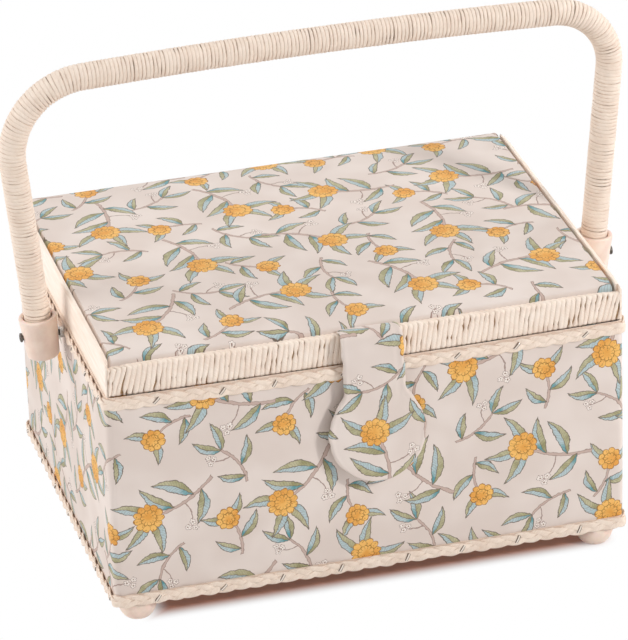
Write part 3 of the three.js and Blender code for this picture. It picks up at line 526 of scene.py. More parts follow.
CORNER_RADIUS = 4.0
LEAST_CORNER = 0.6  # radius of the innermost layers' corners
CLOTH_BULGE = 0.55
CLOTH_THICK = 0.8
RIM_ROUND = 0.6
WALL = 6.0  # cloth and board, to the face that the lining lies on
TURN_OVER = 0.4  # cloth over the rim
TURN_DOWN = 4.0  # and inside it
TURN_THICK = 0.3  # where it lies on the inner face
SKIN = 0.05  # between faces that would otherwise lie in one plane
WALL_STEPS = (60, 44)  # of a surface along the long walls and along the short ones
CORNER_STEPS = 8


def cover_profile():
    """Section of the cover as (offset from its plane, height): up outside, over the rim, and back."""
    outer = places(0.0, np.linspace(base_z, rim_z - RIM_ROUND, 33))
    bend = np.linspace(0, math.pi / 2, 5)[1:]
    edge = places(CLOTH_THICK * (np.cos(bend) - 1),
                  rim_z - RIM_ROUND + (RIM_ROUND + TURN_OVER) * np.sin(bend))
    inner = [[-WALL, rim_z + TURN_OVER], [-WALL - TURN_THICK, rim_z],
             [-WALL - TURN_THICK - SKIN, rim_z - TURN_DOWN]]
    back = [[-WALL - SKIN, rim_z - TURN_DOWN], [-WALL - SKIN, rim_z + SKIN],
            [-CLOTH_THICK, rim_z + SKIN], [-CLOTH_THICK, base_z]]
    return np.concatenate([outer, edge, inner, back])


def wrapped(section, half, radius, corner_steps, swell):
    """A section carried round the walls: its points, and their places on the flat cloth.

    The section is a row of (offset from the outline in plan, height). swell gives how far the cloth
    stands out from the middle of the plan, at a distance round the walls, an offset and a height.
    """
    offset, height = section.T
    corner = np.maximum(radius + offset, LEAST_CORNER)
    ring = loops(half[0] + offset, half[1] + offset, corner, *WALL_STEPS, corner_steps)
    way = run_length(ring[:, 0], closed=True)
    out = unit(ring[:, :1]) * swell(way[:-1, None], offset, height)[..., None]
    x, y = np.moveaxis(ring + plan + out, -1, 0)
    return places(x, y, height), places(way[:, None], run_length(section, closed=True))


def cloth_swell(way, offset, height):
    """The root of half a sine up the outer face, made a little uneven."""
    rise = clamped((height - base_z) / (rim_z - base_z))
    swell = np.where(offset == 0, np.sin(math.pi * rise) ** 0.5, 0)
    return CLOTH_BULGE * swell * (1 + 0.35 * ripple(way / 21, height / 34))


BOW_OUT = 1.8  # the front's top edge stands forward this much in its middle
BOW_BAND = 5.0  # and only this deep behind its face
BOW_FADE = 3.0  # of which this much is spent in fading


def bow_share(x):
    """Share of the bow along the front: a parabola that is 0 at both corners."""
    return clamped(1 - (x / half_width) ** 2)


def bowed(points, sag=0.0):
    """Points moved with the bow of the front, which fades down the wall and behind it.

    A sag lowers them by as large a share of it.
    """
    x, y, z = np.moveaxis(points, -1, 0)
    near = clamped((plan[1] - y - half_depth + BOW_BAND) / BOW_FADE)
    high = clamped((z - base_z) / (rim_z - base_z))
    return points + (bow_share(x) * near * high)[..., None] * [0, -BOW_OUT, -sag]


cover_points, cover_flat = wrapped(
    cover_profile(), (half_width, half_depth), CORNER_RADIUS, CORNER_STEPS, cloth_swell)
cover = add_piece("body_cloth", bowed(cover_points), print_cotton, cover_flat, around=True, along=True)
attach(cover, "body")
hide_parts("body_cover")


# Rim and base braids: three flat paper strands plaited into a band on a paper tape, laid round the top
# and the foot of the walls and stapled on every few centimetres with short slanted wire staples.
FIBRES = 26.0  # round one strand
TWIST = 4.3  # fibres that a millimetre along the strand leads round it


def paper_cord(name, dark, pale, painted_shade_depth):
    """Twisted paper: cream, with fine fibres round the strand, and painted shade in brown patches down its
    sides.

    The flat place is the length along the strand, in millimetres, and the share of a turn round it.
    """
    made, shader, wire = new_finish(name, 0.55, Specular_IOR_Level=0.45)
    along, share = flat_place(wire).xy()
    lay = wire.node("CombineXYZ", None, {0: along * 0.3, 1: share * FIBRES + along * TWIST})
    fibre = lay.noise(1.0, 3.0)
    place = object_place(wire)
    shade = (fibre * 0.65 + place.noise(0.12) * 0.35).between(0.3, 0.68)
    shade_patches = place.noise(0.34).between(0.42, 0.58) * 0.8 + 0.2
    # Painted shade: brown laid down both sides of the strand, where it presses on its neighbours, broken
    # into patches.
    crease = abs((share * (2 * math.pi)).math("COSINE")).between(0.76, 1.0) * shade_patches * painted_shade_depth
    shade.tint(dark, pale).over(crease, srgb(178, 138, 110)).into(shader, "Base Color")
    (0.68 - fibre * 0.3).into(shader, "Roughness")
    fibre.bump(shader, 0.2)
    return made


# The last number of each paper cord is the depth of its painted crease shade.
braid_paper = paper_cord("braid_paper", srgb(233, 209, 190), srgb(251, 234, 218), 0.46)
tape_paper = paper_cord("tape_paper", srgb(236, 213, 195), srgb(250, 232, 216), 0.0)
BRAID_PERIOD = 25.0
STEPS_PER_PERIOD = 30
STRANDS = 3
STRAND_SIDES = 12
STRAND_HALF_WIDTH = 1.8
STRAND_HALF_THICK = 0.5
STRAND_SHIFT = 40.0  # between the strands on their flat map, so that their grain differs
BRAID_SWING = 1.72  # of each strand across the band
BRAID_WEAVE = 0.42  # of each strand in and out
WANDER_WAVES = np.array([9, 17, 31, 53, 71, 97])  # in one round of the walls
WANDER, WANDER_LIMIT = 0.12, 0.35  # of a strand from its sine: each wave, and all of them
TAPE_THICK = 0.35
TAPE_FOOT = 0.5  # of the tape's edge above the braid's
# The tape's shares of a turn lie clear of the painted crease shade, so the tape gets none.
TAPE_SHARES = [0.2, 0.21, 0.29, 0.3, 0.38]  # of a turn, clear of the creases on the flat map
RIM_RAISED = 0.6  # of the rim's plait on its tape
RIM_LIP = 0.46  # of the rim's tape, turned in over the two side walls
BRAID_SAG = 0.4  # of the rim's braid in the middle of the front
BRAID_LIFT = TAPE_THICK + STRAND_HALF_THICK + BRAID_WEAVE
PRESSED_FLAT = 0.27  # share of the braid's thickness that is left under a hinge or a spacer
PRESS_ROOM = 0.6  # beyond each end of the hinge or the spacer
PRESS_FADE = 4.0
LOOK_AHEAD = 0.3  # to the next point, from which a path's direction is taken


def right_of(steps):
    """Directions in a plane that point to the right of steps along a path."""
    return unit(places(steps[..., 1], -steps[..., 0]))


def circle(steps):
    """Angles once round a circle, in even steps."""
    return np.linspace(0, 2 * math.pi, steps, endpoint=False)


def eased_wave(wave, power):
    """A sine or cosine with fuller crests, for a power under 1, or sharper ones."""
    return np.sign(wave) * np.abs(wave) ** power


def walk(distance, lift):
    """Points and outward directions at distances round the walls, and the length of the whole round.

    The loop that they lie on stands off the walls by a lift.
    """
    half = np.array([half_width, half_depth])[:, None] + lift
    path = loops(*half, CORNER_RADIUS + lift, 400, 300, 24)[:, 0]
    length = run_length(path, closed=True)
    closed = np.concatenate([path, path[:1]])
    spot, ahead = (places(*(np.interp((distance + more) % length[-1], length, side) for side in closed.T))
                   for more in (0, LOOK_AHEAD))
    return spot + plan, right_of(ahead - spot), length[-1]


def pressed_spots():
    """Places round the rim where something lies on the braid: (point in plan, half its length)."""
    spots = []
    for side, sign in (("left", -1), ("right", 1)):
        low, high = box_of(f"pivot_spacer_{side}")
        on_wall = np.array([sign * half_width + plan[0], (low + high)[1] / 2])
        spots.append((on_wall, (high - low)[1] / 2 + PRESS_ROOM))
        low, high = box_of(f"hinge_lower_leaf_{side}")
        on_wall = np.array([(low + high)[0] / 2, half_depth + plan[1]])
        spots.append((on_wall, (high - low)[0] / 2 + PRESS_ROOM))
    return spots


def clear_of(spot, spots):
    """Distance from points in plan to the nearest of the pressed places."""
    gaps = [np.linalg.norm(spot - middle, axis=-1) - reach for middle, reach in spots]
    return np.min(gaps, axis=0) if gaps else np.full(spot.shape[:-1], np.inf)


def add_tape(name, foot_z, top_z, lip):
    """The tape under a plait: a thin flat band, its top edge turned in by a lip at the two sides."""
    face = np.array([SKIN, TAPE_THICK, TAPE_THICK, SKIN])
    ring = loops(half_width + face, half_depth + face, CORNER_RADIUS + face, *WALL_STEPS, CORNER_STEPS)
    x, y = np.moveaxis(ring + plan, -1, 0)
    band = places(x, y, np.array([foot_z, foot_z, top_z, top_z]))
    on_side = np.abs(ring[:, 3, 0]) > half_width - 0.5
    band[on_side, 3, 0] -= np.sign(ring[on_side, 3, 0]) * lip
    flat = places(run_length(ring[:, 0], closed=True)[:, None], TAPE_SHARES)
    return add_piece(name, bowed(band), tape_paper, flat, around=True, along=True)


def add_braid(name, node, seed, spots, raised, tape_top, tape_lip):
    """A plait on its tape: gives the height of the plait's middle.

    The strands swing across the band as a sine, and in and out at twice that rate, one third apart. Each
    is a flattened ring carried along. Where something lies on the plait it is pressed flat, and only
    elsewhere is it raised.
    """
    low, high = box_of(node)
    middle_z = (low[2] + high[2]) / 2
    total = walk(np.zeros(1), BRAID_LIFT)[2]
    periods = round(total / BRAID_PERIOD)
    chance = np.random.default_rng(seed)
    distance = np.linspace(0, total, periods * STEPS_PER_PERIOD, endpoint=False)
    spot, out, _ = walk(distance, BRAID_LIFT)
    ahead = places(-out[:, 1], out[:, 0])
    strand = np.arange(STRANDS)[:, None]
    phase = 2 * math.pi * (periods * distance / total + strand / STRANDS)
    wander = chance.normal(0, WANDER, (STRANDS, 1, len(WANDER_WAVES)))
    start = chance.uniform(0, 6, len(WANDER_WAVES))
    wander = wander * np.sin(2 * math.pi * distance[:, None] / total * WANDER_WAVES + start)
    across = BRAID_SWING * np.sin(phase) + np.clip(wander.sum(axis=-1), -WANDER_LIMIT, WANDER_LIMIT)
    depth = -BRAID_WEAVE * np.sin(2 * phase)[..., None]
    slope = np.arctan(BRAID_SWING * np.cos(phase) * 2 * math.pi / BRAID_PERIOD)[..., None]
    angle = circle(STRAND_SIDES)
    width = STRAND_HALF_WIDTH * (0.94 + 0.08 * ripple(phase * 1.7 + strand))
    wide = width[..., None] * np.cos(angle)
    thick = STRAND_HALF_THICK * eased_wave(np.sin(angle), 0.7)
    free = clamped(clear_of(spot, spots) / PRESS_FADE)
    press = PRESSED_FLAT + (1 - PRESSED_FLAT) * free
    stand = (BRAID_LIFT + depth + thick) * press[:, None] - BRAID_LIFT
    x, y = np.moveaxis(spot[:, None] - ahead[:, None] * (np.sin(slope) * wide)[..., None]
                       + out[:, None] * stand[..., None], -1, 0)
    points = places(x, y, middle_z + (raised * free + across)[..., None] + np.cos(slope) * wide)
    length = np.append(distance, total)[:, None] + STRAND_SHIFT * strand[..., None]
    flat = places(length, np.linspace(0, 1, STRAND_SIDES + 1))
    plait = add_piece(name, bowed(points, BRAID_SAG), braid_paper, flat, around=True, along=True)
    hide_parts(node)
    tape = add_tape(name + "_tape", low[2] + TAPE_FOOT, tape_top, tape_lip)
    for piece in (plait, tape):
        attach(piece, "body")
    return middle_z + raised


rim_spots = pressed_spots()
lid_foot = box_of("lid_front_rail")[0][2]
base_braid_top = box_of("base_braid")[1][2]
rim_braid_z = add_braid("rim_plait", "rim_braid", 11, rim_spots, RIM_RAISED, lid_foot + 0.4, RIM_LIP)
base_braid_z = add_braid("base_plait", "base_braid", 12, [], 0.0, base_braid_top - 0.1, 0.0)


def steel(name, dark, bright, roughness):
    """Bare wire and screws: metal with fine drawn scratches and a few dull spots."""
    made, shader, wire = new_finish(name, roughness, Metallic=1.0)
    scratch = object_place(wire).vector("MULTIPLY", (6.0, 1.2, 1.2)).noise(1.0, 3.0)
    scratch.between(0.3, 0.7).tint(dark, bright).into(shader, "Base Color")
    (scratch * 0.25 + (roughness - 0.1)).into(shader, "Roughness")
    scratch.bump(shader, 0.02)
    return made


def staple_wire():
    """Pressed-in wire: bright metal along its middle, and painted shade, dark brown, down both flanks
    where it sits in the paper.
    """
    made, shader, wire = new_finish("staple_wire", 0.35)
    across = flat_place(wire).xy()[1]
    unshaded_crest = (0.62 - abs(across)).between(0, 0.2)
    # Painted shade: the flanks are dark brown and not metal, a painted contact shadow beside the wire.
    unshaded_crest.tint(srgb(104, 82, 66), srgb(226, 214, 202)).into(shader, "Base Color")
    unshaded_crest.into(shader, "Metallic")
    return made


bright_steel = steel("bright_steel", srgb(150, 144, 138), srgb(214, 210, 205), 0.3)
wire_finish = staple_wire()
STAPLE_LENGTH = 5.0
STAPLE_HALF_WIDTH = 0.8
STAPLE_HALF_THICK = 0.3
STAPLE_CROWN = 0.45  # of its middle, over the plait
STAPLE_SINK = 0.9  # of its ends, under the middle
STAPLE_SPACING = 31.0
STAPLE_STRAY = 3.0  # from its even place
STAPLE_SLANT, SLANT_SPREAD = math.radians(50), 0.14
STAPLE_LIFT = 2 * BRAID_LIFT - TAPE_THICK - 0.5


def add_staples(name, middle_z, seed, spots):
    """Flat wire staples, each a short rounded bar bowed down at both ends, slanted across the braid."""
    chance = np.random.default_rng(seed)
    total = walk(np.zeros(1), STAPLE_LIFT)[2]
    count = round(total / STAPLE_SPACING)
    stray = chance.uniform(-STAPLE_STRAY, STAPLE_STRAY, count)
    place = (np.arange(count) + 0.5) * total / count + stray
    place = place[clear_of(walk(place, STAPLE_LIFT)[0], spots) > STAPLE_LENGTH + PRESS_FADE]
    slant = (STAPLE_SLANT + chance.normal(0, SLANT_SPREAD, len(place)))[:, None, None]
    along = np.linspace(-1, 1, 11)[:, None]
    angle = circle(8)
    run = along * STAPLE_LENGTH / 2
    taper = np.sqrt(clamped(1 - np.abs(along) ** 12))
    aside = np.cos(angle) * STAPLE_HALF_WIDTH * taper
    distance = place[:, None, None] + run * np.cos(slant) - aside * np.sin(slant)
    spot, out, _ = walk(distance, STAPLE_LIFT)
    bow = STAPLE_CROWN - STAPLE_SINK * along ** 6 + STAPLE_HALF_THICK * np.sin(angle) * taper
    x, y = np.moveaxis(spot + out * bow[..., None], -1, 0)
    points = places(x, y, middle_z + run * np.sin(slant) + aside * np.cos(slant))
    flat = places(0 * place[:, None, None] + run, np.append(np.cos(angle), 1.0))
    piece = add_piece(name, bowed(points, BRAID_SAG), wire_finish, flat, around=True)
    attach(piece, "body")


add_staples("rim_staples", rim_braid_z, 21, rim_spots)
add_staples("base_staples", base_braid_z, 22, [])


# Lining: plain ivory cotton over thin wadding, glued inside the walls, and a loose-looking floor pad of
# the same cloth that fills the bottom of the box.
def plain_cotton():
    """Plain-woven ivory cotton with a soft mottle."""
    made, shader, wire = new_finish("plain_cotton", 0.9, Sheen_Weight=0.15, Specular_IOR_Level=0.25)
    flat = flat_place(wire)
    mottle = flat.noise(0.12, 3.0).between(0.3, 0.7)
    mottle.tint(srgb(238, 227, 212), srgb(244, 235, 222)).into(shader, "Base Color")
    (weave(flat, 9.0) * 0.35 + flat.noise(0.4, 3.0)).bump(shader, 0.14, 0.7)
    return made


ivory_cotton = plain_cotton()
lining_low, lining_high = box_of("wall_lining")
LINING_PUFF = 0.5
LINING_THICK = 1.6
LINING_ROUND = 0.8  # of its top edge
LINING_ROOM = 0.4  # to the walls
LINING_CORNER = 3.0


def lining_profile():
    """Section of the wall lining: up its soft face, round its top edge, and down its back."""
    shoulder = lining_high[2] - LINING_ROUND
    face = places(-LINING_THICK, np.linspace(lining_low[2], shoulder, 25))
    bend = np.linspace(0, math.pi, 9)[1:]
    top = places(LINING_THICK / 2 * (-1 - np.cos(bend)), shoulder + LINING_ROUND * np.sin(bend))
    return np.concatenate([face, top, [[0, lining_low[2]]]])


def lining_swell(way, offset, height):
    """Soft waves along the inner face, towards the middle of the box."""
    puff = np.where(offset == -LINING_THICK, 1.0, 0.0)
    return -LINING_PUFF * puff * ripple(way / 6.5, height / 60 + 1)


lining_half = (lining_high - lining_low)[:2] / 2 - LINING_ROOM
lining_points, lining_flat = wrapped(lining_profile(), lining_half, LINING_CORNER, 6, lining_swell)
lining = add_piece("wall_wadding", lining_points, ivory_cotton, lining_flat, around=True, along=True)
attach(lining, "body")
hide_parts("wall_lining")


DIP_REACH = 10.0
CROWN_POWER = 2.6  # the higher, the flatter the crown's middle
LEDGE_STEP = 1e-5  # length of the step up to a ledge, as a share of half the pad


def pad_points(low, high, edge_z, roll, crown, columns=72, rows=56, wrinkle=0.0, ledge=None, dip=(0, 0)):
    """A pad: flat under, crowned on top, its edges rolled over a radius, as loops one behind another.

    The height over the underside is a quarter circle over the rolled border, plus a crown that fades to
    the sides. A ledge (place along Y, height) is where the underside steps up to lie on a rail. A dip (at
    the front, at the back) is how far the top falls in a soft curve to that edge. The first and last loop
    fold flat, which closes the ends.
    """
    middle, half = (low + high) / 2, (high - low) / 2
    u, v = (np.sin(np.linspace(-1, 1, count) * math.pi / 2) for count in (columns, rows))
    under = 0 * v + low[2]
    if ledge:
        brink = (ledge[0] - middle[1]) / half[1]
        v = np.sort(np.append(v, [brink, brink + LEDGE_STEP]))
        under = np.where(v > brink, ledge[1], low[2])
    v, under = v[:, None], under[:, None]
    x, y = u * half[0], v * half[1]

    def rolled(share, reach):
        return np.sqrt(1 - (1 - clamped((1 - np.abs(share)) * reach / roll)) ** 2)

    rise = rolled(u, half[0]) * rolled(v, half[1])
    swell = (1 - np.abs(u) ** CROWN_POWER) * (1 - np.abs(v) ** CROWN_POWER)
    fall = clamped(1 - (1 + v * np.array([1, -1])) * half[1] / DIP_REACH) ** 2 @ np.array(dip)
    top = under + rise * (edge_z - fall[:, None] - under) + crown * swell
    top = top + wrinkle * rise * ripple(x / 23 + y / 57, y / 31 - x / 71)
    upper = places(middle[0] + x, middle[1] + y, top)
    lower = places(middle[0] + x, middle[1] + y, under)[:, ::-1]
    body = np.concatenate([upper, lower], axis=1)
    ends = [np.concatenate([lower[k, ::-1], lower[k]])[None] for k in (0, -1)]
    return np.concatenate([ends[0], body, ends[1]])


def flat_of(points):
    """Flat places for a form that is laid out from above: its own x and y, in millimetres."""
    flat = points[..., :2]
    return np.concatenate([flat, flat[:, :1]], axis=1)


pad_low, pad_high = box_of("floor_pad")
PAD_ROOM = np.array([0.4, 0.4, 0])
FLOOR_CROWN = 1.4
floor_pad = pad_points(pad_low + PAD_ROOM, pad_high - PAD_ROOM, pad_high[2] - FLOOR_CROWN,
                       roll=4.5, crown=FLOOR_CROWN, wrinkle=0.25)
floor_piece = add_piece("floor_cushion", floor_pad, ivory_cotton, flat_of(floor_pad), around=True)
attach(floor_piece, "body")
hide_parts("floor_pad")


# Feet: four turned bowls of peach plastic, drawn in to a small round foot, each with a countersunk screw
# that comes down through the base from inside.
def peach_plastic():
    """Moulded plastic, slightly waxy, with a faint mottle and soft moulding marks."""
    made, shader, wire = new_finish("peach_plastic", 0.38, Specular_IOR_Level=0.45,
                                    Subsurface_Weight=0.12, Subsurface_Scale=0.003)
    place = object_place(wire)
    mottle = place.noise(0.16, 3.0)
    mottle.between(0.3, 0.7).tint(srgb(238, 212, 196), srgb(246, 224, 209)).into(shader, "Base Color")
    (mottle * 0.2 + 0.3).into(shader, "Roughness")
    place.noise(2.2).bump(shader, 0.03)
    return made


def eased(profile, radius, steps=5):
    """A row of points in a plane with each inner corner rounded off by a parabola."""
    corners = np.array(profile, float)
    made = [corners[:1]]
    share = np.linspace(0, 1, steps)[:, None]
    for before, here, after in zip(corners[:-2], corners[1:-1], corners[2:]):
        to_before, to_after = before - here, after - here
        reach = min(radius, np.linalg.norm(to_before) / 2, np.linalg.norm(to_after) / 2)
        start, end = here + unit(to_before) * reach, here + unit(to_after) * reach
        made.append(start * (1 - share) ** 2 + 2 * here * share * (1 - share) + end * share ** 2)
    return np.concatenate(made + [corners[-1:]])


def turned(profile, steps=48):
    """A form turned about +Z: each (radius, height) pair carried round in even steps."""
    radius, height = np.array(profile).T[..., None]
    angle = circle(steps)
    return places(radius * np.cos(angle), radius * np.sin(angle), height)


def stood(points, origin, up, across=(0, 1, 0)):
    """A form moved to an origin, with its Z along up and its Y near across."""
    up = unit(np.array(up, float))
    side = unit(np.cross(across, up))
    return points @ np.array([side, np.cross(up, side), up]) + origin


peach_finish = peach_plastic()
dark_steel = steel("dark_steel", srgb(66, 60, 56), srgb(120, 112, 104), 0.36)
FOOT_BOWL = [(0, 0), (5.6, 0), (8.2, 2.6), (9.5, 6.2)]  # radius and height, from the ground up
FOOT_COLLAR = 8.6  # height at which the bowl is at its widest
FOOT_ROUND = 1.8
CORNERS = [(row, side) for side in ("left", "right") for row in ("front", "back")]
for row, side in CORNERS:
    low, high = box_of(f"foot_{row}_{side}")
    tall, wide = high[2] - low[2] - SKIN, (high[0] - low[0]) / 2
    profile = eased([*FOOT_BOWL, (wide, FOOT_COLLAR), (wide, tall), (0, tall)], FOOT_ROUND)
    bowl = turned(profile) + [*(low + high)[:2] / 2, low[2]]
    foot = add_piece(f"foot_peg_{row}_{side}", bowl, peach_finish, around=True)
    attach(foot, "body")
    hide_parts(f"foot_{row}_{side}")
    dress(f"foot_screw_{row}_{side}", dark_steel)


# Handle pivots: a screw through each ferrule into a nut let into the side board, with a bright tube as
# a spacer that keeps the ferrule off the wall.
HEAD_EDGE = 0.62  # height of a screw head's edge, as a share of its middle
SLOT_REACH = 0.68  # of the cross slot's arms, as a share of the head's radius


def pan_head(radius, height, slot_half=0.28, slot_depth=0.45):
    """A domed screw head with a cross slot, as a height over a disc: a dome less the cross."""
    share = np.concatenate([np.linspace(0, 0.8, 15), [0.88, 0.95, 0.985, 1.0, 1.0]])[:, None]
    x, y = radius * share * np.cos(circle(64)), radius * share * np.sin(circle(64))
    dome = height * (HEAD_EDGE + (1 - HEAD_EDGE) * np.sqrt(clamped(1 - share ** 2)))
    near = np.minimum(np.abs(x), np.abs(y))
    cross = clamped((slot_half - near) / 0.08) * clamped((SLOT_REACH - share) / 0.05)
    tall = dome - slot_depth * cross
    tall[-1] = 0
    return np.concatenate([places(x, y, tall), np.zeros((1, x.shape[1], 3))])


HEAD_TALL = 1.2
SHANK_RADIUS = 1.5
SHANK_SINK = 0.02  # of the shank into its head
TUBE_BORE = 1.75
TUBE_CHAMFER = 0.1
for side, sign in (("left", -1), ("right", 1)):
    outward = (sign, 0, 0)
    low, high = box_of(f"pivot_screw_{side}")
    long = high[0] - low[0] - HEAD_TALL
    axis_y, axis_z = (low + high)[1:] / 2
    seat = (high[0] - HEAD_TALL if sign > 0 else low[0] + HEAD_TALL, axis_y, axis_z)
    shank = turned(eased([(0, -long), (SHANK_RADIUS, -long), (SHANK_RADIUS, SHANK_SINK),
                          (0, SHANK_SINK)], 0.3), 24)
    head = pan_head((high - low)[1] / 2, HEAD_TALL)
    screw_head = add_piece(f"pivot_head_{side}", stood(head, seat, outward), dark_steel, around=True)
    screw_shank = add_piece(f"pivot_shank_{side}", stood(shank, seat, outward), dark_steel, around=True)
    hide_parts(f"pivot_screw_{side}")
    low, high = box_of(f"pivot_spacer_{side}")
    long, wide = high[0] - low[0], (high - low)[1] / 2
    tube = eased([(TUBE_BORE, TUBE_CHAMFER), (wide, 0), (wide, long), (TUBE_BORE, long - TUBE_CHAMFER)],
                 0.25)
    tube = turned(np.concatenate([tube, tube[:1]]))
    foot = (low[0] if sign > 0 else high[0], axis_y, axis_z)
    spacer = add_piece(f"pivot_tube_{side}", stood(tube, foot, outward), bright_steel, around=True)
    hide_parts(f"pivot_spacer_{side}")
    for piece in (screw_head, screw_shank, spacer):
        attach(piece, "body")
    dress(f"pivot_nut_{side}", dark_steel)


# Lid frame: front and back rails wound with paper cord, close turns that lean a little and loosen towards
# the corners, and smooth cream strips down the two sides that lap round the ends of the rails.
# Its last number is the depth of the painted crease shade between the turns.
wound_paper = paper_cord("wound_paper", srgb(243, 221, 203), srgb(254, 240, 226), 0.25)
front_low, front_high = box_of("lid_front_rail", "lid_front_winding")
back_low, back_high = box_of("lid_back_rail", "lid_back_winding")
CORD_TURNS = 99
CORD_SIDES = 12
CORD_LEAN = 2.1  # from the foot of a turn to its top
CORD_HALF_THICK = 0.72
CORD_BEND = 0.9  # radius of its turn over the rail's edges
CORD_SHIFT = 60.0  # between the turns on their flat map, so that their grain differs
CORD_SAG = 0.4  # of the front rail in its middle
CORD_SWAY = 0.32
CORD_STRAY = 0.1  # of a turn from its even place
CORD_PRESS = 1.12  # width of a turn, in pitches
CORD_OPENED = 0.26  # and how much narrower the loosest turns are
SLIT_DEPTH = 0.55  # and how much narrower a turn is at its deepest slit
CORNER_LOOSE = 26.0  # length at each end over which the turns loosen
END_DROP = 1.2  # of the turns' tops at the two ends
RAIL_INSET = 0.3  # of the rail's faces from the middle of the cord
STRIP_LAP = 1.0  # thickness of the strip where it laps over a rail's end
LAP_ROOM = 0.1


def loosened(x, reach):
    """0 along a rail, rising to 1 at its two ends."""
    return clamped((np.abs(x) - reach + CORNER_LOOSE) / CORNER_LOOSE)


def add_winding(name, low, high, seed, nodes):
    """Turns of cord round a rail: a flattened ring carried round a rounded rectangle, once for each turn.

    Each turn leans as a straight line on the outer face and back again on the inner one, and sways with
    its neighbours. Its width is a little over the pitch, so that neighbours press together, less at
    lens-shaped slits (bell curves down the turn) and less again where the winding has opened. The ends
    are cut square.
    """
    chance = np.random.default_rng(seed)
    reach = high[0] - STRIP_LAP - LAP_ROOM
    pitch = 2 * reach / CORD_TURNS
    turn = np.arange(-1, CORD_TURNS + 1)[:, None]
    middle = -reach + (turn + 0.5) * pitch
    loose = loosened(middle, reach)
    middle = middle + chance.normal(0, CORD_STRAY, turn.shape) * (1 + 1.5 * loose)
    opened = CORD_OPENED * loose * chance.uniform(0, 1, turn.shape)
    slit_depth = SLIT_DEPTH * chance.uniform(0, 1, (2, *turn.shape)) ** 2
    slit_spot = chance.uniform(-0.95, 0.95, (2, *turn.shape))
    slit_long = chance.uniform(0.1, 0.32, (2, *turn.shape))
    lean = CORD_LEAN * (1 + chance.normal(0, 0.16, turn.shape) + 0.8 * loose)
    size = (high - low)[1:] / 2 - CORD_HALF_THICK
    centre = (low + high)[1:] / 2
    path = loops(size[:1], size[1:], CORD_BEND, 6, 14, 5)[:, 0]
    out = right_of(np.roll(path, -1, axis=0) - np.roll(path, 1, axis=0))
    inward, rise = (path / size).T
    tilt = 0.5 * rise * np.clip(-inward * 1.5, -1, 1)
    slit = (slit_depth * np.exp(-((rise - slit_spot) / slit_long) ** 2)).sum(axis=0)
    half = pitch / 2 * (CORD_PRESS - opened - slit)
    sway = CORD_SWAY * ripple(turn * 0.31 + rise, rise * 1.6 + turn * 0.17)
    angle = circle(CORD_SIDES)
    swell = 1 + 0.05 * np.sin(np.arange(len(path)) * 1.1 + turn * 2.4)
    thick = (CORD_HALF_THICK * swell)[..., None] * np.sin(angle)
    run = (middle + lean * tilt + sway)[..., None] + half[..., None] * np.cos(angle)
    drop = END_DROP * loose ** 2 * clamped(rise)
    y, z = np.moveaxis(centre + path[:, None] + out[:, None] * thick[..., None], -1, 0)
    points = places(np.clip(run, -reach, reach), y, z - drop[..., None])
    length = run_length(path, closed=True)[:, None] + CORD_SHIFT * turn[..., None]
    flat = places(length, np.linspace(0, 1, CORD_SIDES + 1))
    piece = add_piece(name, bowed(points, CORD_SAG), wound_paper, flat, around=True, along=True)
    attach(piece, "lid")
    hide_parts(*nodes)
    rail = loops(size[:1] - RAIL_INSET, size[1:] - RAIL_INSET, CORD_BEND / 2, 6, 12, 5)[:, 0] + centre
    x = np.linspace(-reach, reach, 25)[:, None]
    drop = END_DROP * loosened(x, reach) ** 2 * (rail[:, 1] > centre[1])
    core = places(x, rail[:, 0], rail[:, 1] - drop)
    ends = [np.broadcast_to([end, *centre], core[:1].shape) for end in (-reach, reach)]
    core = np.concatenate([ends[0], core, ends[1]])
    core_piece = add_piece(name + "_rail", bowed(core, CORD_SAG), board_finish, around=True)
    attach(core_piece, "lid")


add_winding("front_cord_turns", front_low, front_high, 31, ("lid_front_rail", "lid_front_winding"))
add_winding("back_cord_turns", back_low, back_high, 32, ("lid_back_rail", "lid_back_winding"))


def cream_strip():
    """Smooth coated strip: cream with a faint grain along it and a soft sheen."""
    made, shader, wire = new_finish("cream_strip", 0.45, Specular_IOR_Level=0.4)
    grain = object_place(wire).vector("MULTIPLY", (0.8, 0.05, 0.8)).noise(1.0, 4.0)
    grain.between(0.3, 0.7).tint(srgb(249, 229, 212), srgb(254, 241, 228)).into(shader, "Base Color")
    (grain * 0.2 + 0.36).into(shader, "Roughness")
    grain.bump(shader, 0.05)
    return made


def capped(rings):
    """Rings set one behind another, closed at both ends by a ring drawn together in its middle."""
    tips = [np.broadcast_to(rings[k].mean(axis=0), rings[:1].shape) for k in (0, -1)]
    return np.concatenate([tips[0], rings, tips[1]])


